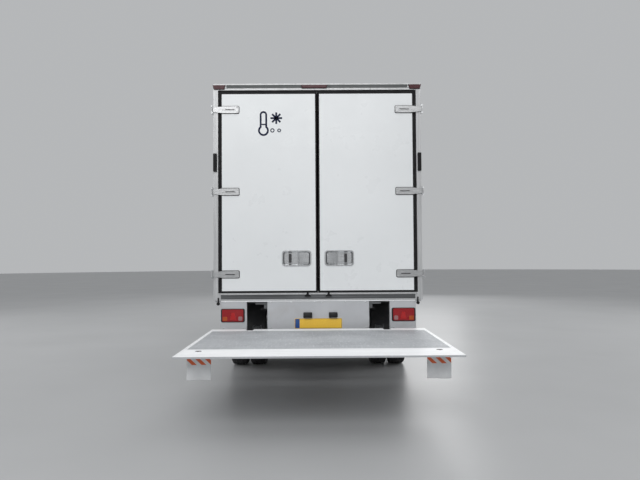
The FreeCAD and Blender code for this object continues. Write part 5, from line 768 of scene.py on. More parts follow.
def lock_block():
    """The dark lock beside the lever: a round-cornered block with a key barrel."""
    barrel = [(0.0, 0.0), (0.0, 0.011), (-0.004, 0.010), (-0.004, 0.0)]
    return [slab((LOCK_X - 0.015, REAR - 0.001, HANDLE_Z - 0.050),
                 (LOCK_X + 0.015, REAR + 0.027, HANDLE_Z + 0.050), "y", 0.006, 0.003),
            lathe(barrel, (LOCK_X, REAR - 0.001, HANDLE_Z), "y", 20)]


print("handle at x", HANDLE_X, "z", HANDLE_Z)

# %% Hardware on both doors
straps = [shape for level in STRAP_HEIGHTS for shape in strap(level)]
shade_pads = [shape for level in STRAP_HEIGHTS for shape in strap_shade_pad(level)]
# The black strap pads are painted shade: rims round the straps for their shadow outlines and inlays for the
# shade in their slots.
for name, shapes, finish, slot in (("strap_shade_pads_", shade_pads, "black_rubber", "black_rubber"),
                                   ("door_straps_", straps, "strap_steel", "stainless"),
                                   ("door_handle_pan_", handle(), "stainless", "stainless"),
                                   ("lock_block_", lock_block(), "black_plastic", "stainless")):
    for side, flip in SIDES:
        stands_for = ["door_fittings_" + side] if name == "door_straps_" else ()
        piece(name + side, [flip(shape) for shape in shapes], finish, "rear_door_" + side, stands_for)

# %% [markdown]
# ## The temperature sign
#
# The left door carries a navy sign of a thermometer and a frost star, cut from thin film.
# The thermometer's outline is a bulb's arc and a stem's half circle joined by straight
# sides. Drawn twice, a little smaller the second time, it becomes a band. Two small rings
# lie under the star.

# %% Thermometer and frost star
FILM = 0.0007
SIGN_AT, STAR_AT = np.array([-0.595, 2.782]), np.array([-0.453, 2.920])
BULB, STEM, STEM_TOP, STROKE = 0.060, 0.041, 0.176, 0.0205
STAR_ARMS = 8
RING_Z, RING_STROKE = 2.783, 0.011


def thermometer(stem, bulb, height=STEM_TOP, steps=28):
    """An outline: most of a circle of the bulb's radius, then round the half circle at the stem's top."""
    gap = math.asin(stem / bulb)
    low = np.linspace(np.pi / 2 + gap, 5 * np.pi / 2 - gap, steps)
    top = np.linspace(0, np.pi, steps // 2)
    return SIGN_AT + np.concatenate([bulb * np.stack([np.cos(low), np.sin(low)], -1),
                                     stem * np.stack([np.cos(top), np.sin(top)], -1) + [0, height]])


def film(outline):
    """Thin film: the outline at two levels, the film's thickness apart."""
    return loft([outline, outline], [REAR - FILM, REAR], "y")


def film_band(outer, inner):
    """Thin film between two outlines of equally many points."""
    return ring_between(outer, inner, REAR, REAR - FILM, "y")


column = oblong(2 * (STEM - STROKE) + 0.004, 0.014, 0.002, 3) + SIGN_AT + [0, 0.068]
shapes = [film_band(thermometer(STEM, BULB), thermometer(STEM - STROKE, BULB - STROKE)), film(column)]
for turn in np.arange(STAR_ARMS) * 2 * np.pi / STAR_ARMS:
    arm = oblong(0.064, 0.021, 0.005) + [0.033, 0]
    c, s = math.cos(turn), math.sin(turn)
    shapes.append(film(arm @ np.array([[c, s], [-s, c]]) + STAR_AT))
for x, radius in ((-0.496, 0.024), (-0.421, 0.021)):
    shapes.append(film_band(disc(radius) + [x, RING_Z], disc(radius - RING_STROKE) + [x, RING_Z]))
piece("temperature_sign", shapes, "sign_navy", "rear_door_left")
print("sign", len(shapes), "cut shapes")

# %% [markdown]
# ## Lamps and the number plate
#
# Marker lamps are single lenses on the header, with a ribbed band between them. The main
# lamps are black housings that hold a red lens with an amber and a clear field in the
# lower corners. All of them are plates with eased edges, stacked as the moulded parts are.
# The plate is blank, with the plain blue band that many countries print at its left end.

# %% Header and side markers
HEADER_LOW = 3.233
BRAKE_LOW = HEADER_LOW + 0.018
MARKER_X, BRAKE_X, BAND_HALF = 1.085, -0.030, 1.005
SIDE_MARKERS = REAR + np.linspace(0.180, 4.380, 4)


def wedge(centre, low, high, foot, head, out):
    """A lamp whose face is a trapezoid: its foot's half width, its head's, and how far it stands out."""
    sides = np.array([[-foot, low], [foot, low], [head, high], [-head, high]]) + [centre, 0.0]
    return plate(sides, REAR - out, REAR, "y", 0.004)


shapes = both_sides([wedge(MARKER_X, HEADER_LOW + 0.008, HEADER_LOW + 0.056, 0.054, 0.070, 0.014)])
shapes.append(wedge(BRAKE_X, BRAKE_LOW + 0.001, BRAKE_LOW + 0.037, 0.130, 0.145, 0.014))
piece("red_markers", shapes, "marker_red", "chassis", ["marker_lamps"])
band = np.array([[-0.0012, 0.0245], [-0.0016, 0.030], [-0.0006, 0.036], [-0.0006, 0.044],
                 [-0.0016, 0.050], [-0.0012, 0.0585], [0.0, 0.0585], [0.0, 0.0245]]) + [REAR, HEADER_LOW]
shapes = [loft([band, band], [-BAND_HALF, BAND_HALF], "x"),
          stud((0.136, REAR - 0.0006, BRAKE_LOW + 0.019), 0.008, 0.004),
          slab((0.592, REAR - 0.002, HEADER_LOW), (0.595, REAR, HEADER_LOW + 0.060), "y", 0.001, 0.0005)]
piece("header_band", shapes, "band_grey", "chassis")

shapes = both_sides([wedge(MARKER_X, HEADER_LOW + 0.006, HEADER_LOW + 0.058, 0.058, 0.073, 0.006)])
shapes.append(wedge(BRAKE_X, BRAKE_LOW, BRAKE_LOW + 0.038, 0.140, 0.150, 0.006))
lenses = []
for y in SIDE_MARKERS:
    shapes += both_sides([slab((1.146, y, 0.930), (1.154, y + 0.090, 0.964), "x", 0.006, 0.001)])
    lenses += both_sides([slab((1.150, y + 0.005, 0.934), (1.161, y + 0.085, 0.960), "x", 0.006, 0.004)])
piece("marker_bases", shapes, "black_plastic", "chassis")
piece("amber_markers", lenses, "amber_lens", "chassis")

# %% Main lamps
APRON = REAR + 0.006
LAMP_X, LAMP_Z = 0.938, 0.742
FIELD_X = 0.084


def lamp_field(width, height, corner, out, back, edge, x=0.0, z=0.0):
    """A round-cornered plate on the lamp, between two depths out of the apron, off its middle by x and z."""
    outline = oblong(width, height, corner) + [LAMP_X + x, LAMP_Z + z]
    return plate(outline, APRON - out, APRON - back, "y", edge)


clip = slab((LAMP_X - 0.006, APRON - 0.018, LAMP_Z - 0.066),
            (LAMP_X + 0.006, APRON - 0.008, LAMP_Z - 0.012), "y", 0.003)
triangle = np.array([[-0.034, -0.048], [0.034, -0.048], [0.016, 0.030], [-0.016, 0.030]])
triangle = triangle + [LAMP_X - 0.004, LAMP_Z]
housing = [lamp_field(0.260, 0.147, 0.016, 0.011, 0.0, 0.002), clip]
piece("lamp_housings", both_sides(housing), "lamp_housing", "chassis", ["rear_lamps"])
for name, shape, finish in (
        ("stop_lenses", lamp_field(0.232, 0.133, 0.012, 0.019, 0.008, 0.005), "red_lens"),
        ("reflectors", plate(triangle, APRON - 0.0215, APRON - 0.016, "y", 0.002), "reflector_red"),
        ("turn_lenses", lamp_field(0.050, 0.046, 0.008, 0.0215, 0.012, 0.003, FIELD_X, -0.036), "amber_lens"),
        ("reverse_lenses", lamp_field(0.044, 0.046, 0.010, 0.0215, 0.012, 0.003, -FIELD_X, -0.034),
         "clear_lens")):
    piece(name, both_sides([shape]), finish, "chassis")
print("main lamps at x", LAMP_X, "z", LAMP_Z)

# %% Plate lamps
PLATE_LAMPS, PLATE_LAMP_Z = (-0.116, 0.164), 0.740
shapes, windows = [], []
rings = [(0.097, 0.062, 0.010, 0.0), (0.095, 0.060, 0.012, -0.020),
         (0.084, 0.050, 0.014, -0.034), (0.070, 0.040, 0.014, -0.038)]
for x in PLATE_LAMPS:
    shapes.append(pan_of(rings, [x, PLATE_LAMP_Z], APRON))
    windows.append(slab((x - 0.034, APRON - 0.032, 0.7095), (x + 0.034, APRON - 0.008, 0.713), "z", 0.006))
piece("plate_lamps", shapes, "lamp_housing", "chassis")
piece("plate_lamp_windows", windows, "lamp_clear", "chassis")
print("plate lamps at x", PLATE_LAMPS)

# %% Number plate
plate_low, plate_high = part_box("number_plate")
centre = (plate_low + plate_high) / 2
size = plate_high - plate_low
FACE_OUT = APRON - 0.002


def on_plate(width, height, corner, x=centre.x):
    """An outline on the plate, a round-cornered rectangle about the plate's middle height."""
    return oblong(width, height, corner) + [x, centre.z]


sheet = plate(on_plate(size.x, size.z, 0.009), FACE_OUT, APRON, "y", 0.0006)
piece("plate_sheet", [sheet], "plate_yellow", "chassis", ["number_plate"])
blue = on_plate(0.047, size.z - 0.012, 0.005, plate_low.x + 0.031)
piece("plate_band", [plate(blue, FACE_OUT - 0.0004, FACE_OUT + 0.0002, "y", 0.0001)], "plate_blue", "chassis")
rim = ring_between(on_plate(size.x - 0.008, size.z - 0.008, 0.007),
                   on_plate(size.x - 0.013, size.z - 0.013, 0.005), FACE_OUT + 0.0002, FACE_OUT - 0.0008, "y")
piece("plate_rim", [rim], "black_plastic", "chassis")
print("plate", round(size.x, 3), "by", round(size.z, 3))

# %% [markdown]
# ## Sill, slots and screws
#
# The sill is a pressed channel with two low beads that stiffen it. Its dark grey is a
# painted shade for the shadow in its groove, and a near-white strip under it is a painted
# highlight along the apron's top edge. Seen through the apron's slots are the lift's own
# cross beam and its end block, and rubber caps cover the keepers under the doors.
# Button-head screws hold the apron, and blind rivets hold the profiles round the box.

# %% Sill groove, slot beams and keeper caps
SILL_LOW, SILL_HIGH, SILL_HALF = 0.9175, 0.9675, 1.070
SLOT_EDGES = (0.5585, 0.7865)
KEEPER_X = 0.107

bead = np.array([[0.0, 0.0], [0.35, 0.0], [0.45, -0.6], [0.55, -0.6], [0.65, 0.0], [1.0, 0.0]]) * [0.5, 1.0]
wave = np.concatenate([bead, (bead + [0.5, 0.0])[1:]])
front_line = np.stack([REAR + 0.0046 + 0.004 * wave[:, 1],
                       SILL_LOW + (SILL_HIGH - SILL_LOW) * wave[:, 0]], -1)
strip = np.concatenate([front_line, [[REAR + 0.0055, SILL_HIGH], [REAR + 0.0055, SILL_LOW]]])
# The channel's dark grey finish is a painted shade for the shadow in its groove.
channel = loft([strip, strip], [-SILL_HALF, SILL_HALF], "x")
piece("sill_channel_painted_shade", [channel], "sill_grey", "chassis")
# A near-white strip along the apron's top edge, in the pale lip finish: a painted highlight.
lip = slab((-SILL_HALF, APRON - 0.005, 0.8905), (SILL_HALF, APRON + 0.001, 0.9015), "y", 0.002, 0.002)
piece("apron_painted_highlight", [lip], "lip_alloy", "chassis")
beams = [slab((0.563, REAR + 0.016, 0.858), (0.692, REAR + 0.048, 0.887), "y", 0.003, 0.002),
         slab((0.563, REAR + 0.018, 0.812), (0.598, REAR + 0.046, 0.858), "y", 0.003, 0.002),
         slab((0.692, REAR + 0.016, 0.877), (0.782, REAR + 0.048, 0.887), "y", 0.003, 0.002)]
piece("slot_beams", both_sides(beams), "sill_grey", "chassis")
rims = [slab((x - 0.0015, APRON - 0.003, 0.575), (x + 0.0015, APRON + 0.002, 0.889), "y", 0.001, 0.0005)
        for x in SLOT_EDGES]
piece("slot_rims", both_sides(rims), "stainless", "chassis")
cap = np.array([[-0.012, 0.992], [-0.012, 0.972], [-0.034, 0.958], [-0.034, 0.945],
                [0.034, 0.945], [0.034, 0.958], [0.012, 0.972], [0.012, 0.992]]) + [KEEPER_X + 0.008, 0.0]
piece("keeper_caps", both_sides([plate(cap, REAR - 0.0215, REAR - 0.0175, "y", 0.001)]), "black_rubber",
      "chassis")
print("sill beads", len(wave), "points across")

# %% Screws on the apron and rivets on the profiles
SCREW_ROWS = ((0.882, (0.04, 0.30, 0.52, 0.83, 1.02)), (0.60, (0.52, 0.83, 1.04)))
RIVET_X, RIVET_PITCH, ALONG_COUNT, UP_COUNT = 1.148, 0.12, 37, 18

screws = [stud((x, APRON, z), 0.0075, 0.0035) for z, places in SCREW_ROWS for x in places]
piece("apron_screws", both_sides(screws), "stainless", "chassis")


def rivet_row(start, step, count):
    """A row of low domes: one dome's points repeated at equal steps along the row."""
    points, faces = stud((0.0, 0.0, 0.0), 0.005, 0.0022, "x", away=1)
    places = np.array(start) + np.arange(count)[:, None] * np.array(step)
    return joined([(points + place, faces) for place in places])


rows = [rivet_row((RIVET_X, REAR + 0.14, z), (0, RIVET_PITCH, 0), ALONG_COUNT) for z in (3.235, 0.905)]
rows += [rivet_row((RIVET_X, REAR + 4.635, 1.02), (0, 0, RIVET_PITCH), UP_COUNT)]
piece("profile_rivets", both_sides(rows), "anodised", "chassis")
print("rivets a side", 2 * ALONG_COUNT + UP_COUNT)

# %% [markdown]
# ## The lift deck
#
# The platform is built of extruded planks that lie across, between a bright hinge rail,
# two side rails and a wide pale lip with low beads. The lip is near white, partly for its
# pale alloy and partly as a painted highlight. Low ribs on the planks give grip. The ribs
# are one wave function of the distance along the deck, so all planks are one grid.

# %% Planks
PLATFORM_HALF, DECK_FRONT, DECK_BACK = 1.14, REAR - 0.153, REAR - 1.953
HINGE_RAIL, SIDE_RAIL, LIP = 0.160, 0.034, 0.380
NOTCH_X, NOTCH_BACK = (0.690, 0.770), REAR - 0.262
RIB_PITCH, RIB_HEIGHT, PLANK, PLANK_LIFT = 0.0125, 0.0011, 0.15, 0.0004
LIP_BEADS, RAIL_RIVETS = 9, 9


def ribbed_deck(low_y, high_y, half_width):
    """Height over the deck: a trapezoid wave at the rib pitch, dropping to a joint between planks."""
    y = np.arange(low_y, high_y, RIB_PITCH / 4)
    phase = np.arange(len(y)) % 4
    high = np.where((phase == 1) | (phase == 2), RIB_HEIGHT, 0.0)
    joint = np.abs((y - low_y) % PLANK) < RIB_PITCH / 2
    high = np.where(joint, 0.0, high) + PLANK_LIFT
    x = np.linspace(-half_width, half_width, 7)
    points = np.zeros((len(y) + 2, len(x), 3))
    points[..., 0] = x
    points[1:-1, :, 1] = y[:, None]
    points[1:-1, :, 2] = DECK_LEVEL + high[:, None]
    points[0, :, 1:] = (y[0], DECK_LEVEL)
    points[-1, :, 1:] = (y[-1], DECK_LEVEL)
    return grid(points)


INNER_HALF = PLATFORM_HALF - SIDE_RAIL
LIP_FRONT = DECK_BACK + LIP
deck = ribbed_deck(LIP_FRONT, DECK_FRONT - HINGE_RAIL, INNER_HALF)
piece("deck_planks", [deck], "deck_alloy", "platform")
print("deck ribs", int((DECK_FRONT - HINGE_RAIL - LIP_FRONT) / RIB_PITCH))


# %% Rails and lip
def rail(low, high):
    """A bright rail lying on the deck, 2 mm high with eased edges."""
    return slab((*low, DECK_LEVEL - 0.0005), (*high, DECK_LEVEL + 0.002), "z", 0.002, 0.001)


# The last rail below is the lip across the deck's end: near white, partly as pale alloy and partly as a
# painted highlight.
rails = both_sides([rail((INNER_HALF, LIP_FRONT), (PLATFORM_HALF, DECK_FRONT)),
                    rail((NOTCH_X[1], NOTCH_BACK), (INNER_HALF, DECK_FRONT))])
rails += [rail((-NOTCH_X[0], NOTCH_BACK), (NOTCH_X[0], DECK_FRONT)),
          rail((-INNER_HALF, DECK_FRONT - HINGE_RAIL), (INNER_HALF, NOTCH_BACK)),
          rail((-PLATFORM_HALF, DECK_BACK + 0.004), (PLATFORM_HALF, LIP_FRONT))]
for y in np.linspace(DECK_BACK + 0.03, LIP_FRONT - 0.05, LIP_BEADS):
    rails.append(slab((-PLATFORM_HALF + 0.02, y, DECK_LEVEL + 0.001),
                      (PLATFORM_HALF - 0.02, y + 0.006, DECK_LEVEL + 0.0032), "z", 0.002, 0.001))
piece("deck_rails", rails, "lip_alloy", "platform")
rivets = [stud((INNER_HALF + SIDE_RAIL / 2, y, DECK_LEVEL + 0.0018), 0.007, 0.0012, "z", away=1)
          for y in np.linspace(LIP_FRONT + 0.06, DECK_FRONT - 0.06, RAIL_RIVETS)]
piece("deck_rivets", both_sides(rivets), "anodised", "platform")
print("beads on the lip", LIP_BEADS, "rivets a side rail", RAIL_RIVETS)

# %% Lamps in the lip
LIP_LAMP = (0.990, DECK_BACK + 0.280, DECK_LEVEL)
bezel = [(0.0018, 0.0), (0.0036, 0.014), (0.0036, 0.024), (0.0030, 0.026), (0.0018, 0.026)]
bezels = both_sides([lathe(bezel, LIP_LAMP, "z", 28)])
piece("lip_lamp_bezels", bezels, "black_rubber", "platform")
dome = [(0.0030, 0.0), (0.0050, 0.004), (0.0048, 0.009), (0.0034, 0.013)]
domes = both_sides([lathe(dome, LIP_LAMP, "z", 24)])
piece("lip_lamp_domes", domes, "marker_red", "platform")
print("lip lamps at x", LIP_LAMP[0])

# %% [markdown]
# ## Warning flags
#
# Two flags of coated cloth hang under the lip so that drivers see the platform's corners.
# A hung sheet is never flat: each is a grid whose depth follows a slow wave across, which
# grows towards the free lower edge. It takes a map from 0 to 1 for its printed bars.

# %% A hung sheet
flag_low, flag_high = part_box("platform_flags")
FLAG_WIDTH, FLAG_DROP, FLAG_X = 0.200, flag_high.z - flag_low.z, flag_high.x - 0.100
FLAG_STEPS, FLAG_THICK = 25, 0.0012
SWAY, SWAY_WAVES, SWAY_START, HEM_CURL = 0.010, 0.9, 0.15, 0.006


def flag_sheet(centre_x, bend):
    """Points across u, down v: x follows u, z follows v, and y is a sine of u times v plus a curled hem."""
    u, v = np.meshgrid(np.linspace(0, 1, FLAG_STEPS), np.linspace(0, 1, FLAG_STEPS))
    x = centre_x + FLAG_WIDTH * (u - 0.5)
    sway = SWAY * v * np.sin(2 * np.pi * (SWAY_WAVES * u + SWAY_START)) + HEM_CURL * v ** 3
    y = (flag_low.y + flag_high.y) / 2 + bend * sway
    z = flag_high.z - 0.001 - (FLAG_DROP - 0.003) * v
    points, faces = grid(np.stack([x, y, z], -1))
    return points, faces, np.stack([u, 1 - v], -1).reshape(-1, 2)


print("points in a flag", FLAG_STEPS ** 2)

# %% Both flags and their clamps
for side, centre_x, bend in (("right", FLAG_X, 1.0), ("left", -FLAG_X, -0.8)):
    points, faces, where = flag_sheet(centre_x, bend)
    mesh = bpy.data.meshes.new("flag_" + side)
    mesh.from_pydata(points, [], faces)
    corner_points = np.zeros(len(mesh.loops), np.int32)
    mesh.loops.foreach_get("vertex_index", corner_points)
    mesh.uv_layers.new(name="flag").data.foreach_set("uv", where[corner_points].astype(np.float32).ravel())
    mesh.shade_smooth()
    mesh.materials.append(finishes["flag_cloth"])
    flag = bpy.data.objects.new("flag_" + side, mesh)
    bpy.context.scene.collection.objects.link(flag)
    thick = flag.modifiers.new("cloth", "SOLIDIFY")
    thick.thickness = FLAG_THICK
    thick.offset = 0.0
    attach(flag, "platform")
    if side == "right":
        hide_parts("platform_flags")
    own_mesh(flag)
clamps = [slab((x - 0.098, flag_low.y - 0.002, flag_high.z - 0.012),
               (x + 0.098, flag_high.y + 0.002, flag_high.z + 0.001), "y", 0.002, 0.001)
          for x in (-FLAG_X, FLAG_X)]
piece("flag_clamps", clamps, "black_rubber", "platform")
print("flags", FLAG_WIDTH, "by", round(FLAG_DROP - 0.003, 3))

# %% [markdown]
# ## Tyres
#
# A tyre is a section turned about its axle. The section's radius is smooth on the walls,
# and on the crown it drops into four grooves. Across the shoulders the radius also depends
# on the turn, which cuts the tread blocks. So the tyre is one grid: turn by section point.

# %% Tread and walls
AXLE_Z, TYRE_R, TYRE_HALF, TREAD_HALF, BEAD_R = 0.3835, 0.3835, 0.1025, 0.084, 0.2225
GROOVES, GROOVE_DEPTH, CUT_DEPTH = (-0.054, -0.019, 0.019, 0.054), 0.009, 0.003
GROOVE_CLIP, GROOVE_SIDE, CROWN_DROP = 1.35, 0.0045, 0.0055
RIDGE_OUT, RIDGE_R, RIDGE_HALF = 0.0012, 0.345, 0.008
SHOULDER_X, SHOULDER_SIDE, SHOULDER_R, SHOULDER_SHARE = 0.058, 0.004, 0.352, 0.8
MIDDLE_X, MIDDLE_R = 0.052, 0.37
BLOCKS, TURNS = 60, 240
WALL_AT = (0, 0.12, 0.3, 0.55, 0.8, 0.93, 1.0)
WALL_X = (0.091, 0.0965, 0.1005, TYRE_HALF, 0.097, 0.088, 0.080)
WALL_R = (0.374, 0.362, 0.340, 0.300, 0.255, 0.234, BEAD_R)
FRONT_Y, BACK_Y = REAR + 5.150, REAR + 1.250
FRONT_X, OUTER_TWIN_X, INNER_TWIN_X = 0.925, 0.9975, 0.7615


def tyre(centre_x, centre_y):
    """Crown: radius less a small square of the offset, less grooves, and less cuts at some turns. Walls: an
    arc from the shoulder round the bulge to the bead."""
    tread = np.linspace(-TREAD_HALF, TREAD_HALF, 49)
    crown = TYRE_R - CROWN_DROP * (tread / TREAD_HALF) ** 2
    groove = sum(np.clip(GROOVE_CLIP - np.abs(tread - at) / GROOVE_SIDE, 0, 1) for at in GROOVES)
    arc = np.linspace(0, 1, 16)[1:]
    wall_x = np.interp(arc, WALL_AT, WALL_X)
    wall_r = np.interp(arc, WALL_AT, WALL_R)
    ridge = RIDGE_OUT * (np.abs(wall_r - RIDGE_R) < RIDGE_HALF)
    x = np.concatenate([(-(wall_x + ridge))[::-1], tread, wall_x + ridge])
    radius = np.concatenate([wall_r[::-1], crown, wall_r])
    grooves = np.pad(groove, len(arc))
    step = np.arange(TURNS)
    shoulder = SHOULDER_SHARE * np.clip((np.abs(x) - SHOULDER_X) / SHOULDER_SIDE, 0, 1)
    shoulder = shoulder * (radius > SHOULDER_R)
    lug = (step % (TURNS // BLOCKS) == 0)[:, None]
    middle = (np.abs(x) < MIDDLE_X) * np.clip(1 - grooves, 0, 1) * (radius > MIDDLE_R)
    fine = ((step + 2) % (TURNS // BLOCKS) == 0)[:, None]
    r = radius - GROOVE_DEPTH * np.maximum(grooves, shoulder * lug) - CUT_DEPTH * middle * fine
    spin = step[:, None] * 2 * np.pi / TURNS
    points = np.stack([np.broadcast_to(centre_x + x, r.shape),
                       centre_y + r * np.cos(spin), AXLE_Z + r * np.sin(spin)], -1)
    return grid(points, wrap_rows=True, wrap_columns=True)


print("points round a tyre's section", len(tyre(0.0, 0.0)[0]) // TURNS)

# %% Single tyres in front, twins behind
for side, way in (("right", 1), ("left", -1)):
    piece("tread_front_" + side, [tyre(way * FRONT_X, FRONT_Y)], "tyre_rubber", "wheel_front_" + side,
          ["tyre_front_" + side], smooth=50)
    twins = [tyre(way * OUTER_TWIN_X, BACK_Y), tyre(way * INNER_TWIN_X, BACK_Y)]
    piece("tread_rear_" + side, twins, "tyre_rubber", "wheels_rear_" + side,
          ["tyres_rear_" + side], smooth=50)
print("tread blocks round each shoulder", BLOCKS)

# %% [markdown]
# ## The cab's face
#
# A cab-over's windscreen leans back evenly, so anything on it is drawn flat, across and up,
# and then lifted onto the plane: forward is a height above the plane plus the plane's own
# slope times z. Rubber frames the glass, two wipers lie at rest and a slatted panel lets
# air through to the radiator below.

# %% Screen rubber and wipers
SCREEN_FOOT, SCREEN_SLOPE = 1.560, 0.3608


def screen_plane(z):
    """The y of the leaning screen: it moves back by its slope times the height above its foot."""
    return reach(6.350) - SCREEN_SLOPE * (z - SCREEN_FOOT)


def on_screen(shape):
    """A shape drawn about y = 0 lifted onto the leaning screen: each y gains the plane's y at its z."""
    points = shape[0].copy()
    points[:, 1] += screen_plane(points[:, 2])
    return points, shape[1]


SCREEN_AT = np.array([0.0, 1.944])
frame_rubber = ring_between(oblong(1.842, 0.690, 0.040, 9) + SCREEN_AT,
                            oblong(1.782, 0.630, 0.034, 9) + SCREEN_AT, -0.008, 0.0035, "y")
piece("screen_rubber", [on_screen(frame_rubber)], "black_rubber", "cab")


def wiper(pivot_x):
    """An arm over the rubber and the blade it presses on the glass: two bars along short paths."""
    arm = [(0.0, 0.006, 1.585), (-0.03, 0.016, 1.602), (-0.17, 0.016, 1.650), (-0.32, 0.006, 1.690)]
    blade = [(-0.08, -0.001, 1.662), (-0.32, -0.001, 1.684), (-0.56, -0.001, 1.700)]
    cap = [(-0.002, 0.0), (-0.002, 0.017), (0.012, 0.015), (0.017, 0.008), (0.018, 0.0)]
    pivot = np.array([pivot_x, 0.0, 0.0])
    return [on_screen(shape) for shape in (tube(arm + pivot, 0.006), tube(blade + pivot, 0.007),
                                           lathe(cap, (pivot_x, 0.0, 1.585), "y", 20))]


piece("wipers", wiper(0.62) + wiper(-0.08), "black_plastic", "cab")
print("screen foot at y", round(screen_plane(SCREEN_FOOT), 3))

# %% Air panel and trims
FACE, SLATS = reach(6.385), 6
panel = [slab((-0.64, FACE - 0.004, 0.975), (0.64, FACE + 0.004, 1.405), "y", 0.03, 0.002)]
slat = np.array([[-0.002, -0.020], [0.012, -0.014], [0.020, -0.004],
                 [0.020, 0.002], [0.010, 0.002], [-0.002, -0.006]])
panel += [loft([slat + [FACE, z]] * 2, [-0.61, 0.61], "x") for z in np.linspace(1.035, 1.365, SLATS)]
piece("air_panel", panel, "bumper_plastic", "cab")
trims = [slab((-0.92, FACE - 0.002, 1.417), (0.92, FACE + 0.003, 1.427), "y", 0.002, 0.001)]
trims += both_sides([slab((0.70, FACE - 0.002, 0.88), (0.98, FACE + 0.004, 0.895), "y", 0.004, 0.001)])
piece("face_trims", trims, "black_plastic", "cab")
print("air panel slats", SLATS)

# %% [markdown]
# ## Headlamps
#
# Behind its clear cover a headlamp is a dark tray with two reflector bowls. A bowl is a
# parabola turned about the line of sight: its depth grows with the square of the radius,
# so light from the bulb at its focus leaves straight ahead.

# %% Trays, bowls and covers
LAMP_BACK, LAMP_FACE = reach(6.4145), reach(6.4285)
BOWL_X, BOWL_Z, BOWL_R, BOWL_DEEP = (0.640, 0.770), 0.615, 0.058, 0.0085

spread = np.linspace(0.006, BOWL_R, 10)
parabola = np.stack([0.0020 + BOWL_DEEP * (spread / BOWL_R) ** 2, spread], -1)
bowl = np.concatenate([[(0.0020, 0.0)], parabola, [(0.0105, 0.062), (0.0020, 0.062)]])
bulb = [(0.0025, 0.0), (0.0025, 0.009), (0.008, 0.007), (0.010, 0.0)]
bowls = [lathe(bowl, (x, LAMP_BACK, BOWL_Z), "y", 40) for x in BOWL_X]
bulbs = [lathe(bulb, (x, LAMP_BACK, BOWL_Z), "y", 20) for x in BOWL_X]
cover = slab((0.562, LAMP_FACE - 0.0025, 0.542), (0.840, LAMP_FACE, 0.688), "y", 0.014, 0.001)
tray = slab((0.561, LAMP_BACK, 0.541), (0.929, LAMP_BACK + 0.002, 0.689), "y", 0.012, 0.0005)
blinker = slab((0.844, LAMP_BACK + 0.002, 0.544), (0.927, LAMP_FACE, 0.686), "y", 0.014, 0.003)
piece("headlamp_covers", both_sides([cover]), "lamp_glass", "chassis", ["headlamps"])
piece("headlamp_trays", both_sides([tray]), "black_plastic", "chassis")
piece("headlamp_bowls", both_sides(bowls), "rod_chrome", "chassis")
piece("headlamp_bulbs", both_sides(bulbs), "lamp_clear", "chassis")
piece("front_blinkers", both_sides([blinker]), "amber_lens", "chassis")
print("bowls a side", len(BOWL_X), "deep", BOWL_DEEP)

# %% [markdown]
# ## Cab doors and mirrors
#
# Black rubber frames each side window. Its outline has four corners, drawn once larger and
# once smaller than the glass. The handle is covered in black plastic with a lock beside
# it. Each mirror head has a long main mirror above a small wide-angle one.

# %% Window rubber, handles and mirror faces
window = np.array([[5.410, 1.570], [6.0888, 1.570], [5.8616, 2.210], [5.410, 2.210]]) + [REAR, 0.0]
rubber = ring_between(shrunk(window, -0.014), shrunk(window, 0.007), 1.072, 1.0785, "x")
grip_cover = slab((1.060, reach(5.408), 1.471), (1.0775, reach(5.562), 1.509), "x", 0.008, 0.003)
barrel = [(0.0, 0.0), (0.0, 0.012), (0.0025, 0.011), (0.0025, 0.0)]
lock = lathe(barrel, (1.075, reach(5.610), 1.490), "x", 24)
for side, flip in SIDES:
    for name, shape, finish in (("window_rubber_", rubber, "black_rubber"),
                                ("door_handle_", grip_cover, "black_plastic"),
                                ("door_lock_", lock, "stainless")):
        piece(name + side, [flip(shape)], finish, "cab_door_" + side)

MIRROR_X, MIRROR_BACK = 1.200, reach(6.250)
faces, bezels = [], []
for z, tall in ((1.905, 0.205), (1.720, 0.105)):
    area, outer, inner = [oblong(width, tall + more, corner) + [MIRROR_X, z] for width, more, corner in
                          ((0.160, 0.0, 0.022), (0.176, 0.016, 0.030), (0.158, -0.002, 0.021))]
    faces.append(plate(area, MIRROR_BACK - 0.002, MIRROR_BACK + 0.001, "y", 0.001))
    bezels.append(ring_between(outer, inner, MIRROR_BACK + 0.001, MIRROR_BACK - 0.005, "y"))
piece("mirror_faces", both_sides(faces), "mirror_face", "cab")
piece("mirror_bezels", both_sides(bezels), "black_rubber", "cab")
print("mirror faces", 2 * len(faces))

# %% [markdown]
# ## The refrigeration unit
#
# Behind the front slats lies the condenser, a dark finned block. The cover's joints and
# latches show where it opens. Inside the box, the evaporator blows through three round
# guards, each a set of wire rings: a ring is a small circle carried round a large one.

# %% Condenser and latches
CONDENSER, UNIT_FACE = reach(5.062), reach(5.088)
fins = both_sides([slab((0.031, CONDENSER, 2.871), (0.649, CONDENSER + 0.004, 3.129), "y", 0.004, 0.001)])
piece("condenser", fins, "black_plastic", "chassis")
joints = both_sides([slab((0.70, UNIT_FACE, 2.775), (0.703, UNIT_FACE + 0.0006, 3.22), "y", 0.001, 0.0002)])
joints.append(slab((-0.80, UNIT_FACE, 2.828), (0.80, UNIT_FACE + 0.0006, 2.831), "y", 0.001, 0.0002))
latches = [slab((x - 0.03, UNIT_FACE, 2.815), (x + 0.03, UNIT_FACE + 0.008, 2.845), "y", 0.006, 0.002)
           for x in (0.25, 0.60)]
piece("unit_latches", joints + both_sides(latches), "black_plastic", "chassis")
print("condenser at y", round(CONDENSER, 3))

# %% Fan wells and guards
FAN_FACE, FAN_Z, FAN_X = reach(4.020), 3.110, (-0.44, 0.0, 0.44)
WIRE, RING_SIZES, SPOKE, SPOKE_TURNS = 0.0022, (0.022, 0.044, 0.066, 0.088), 0.09, (0.3, 1.35, 2.4)


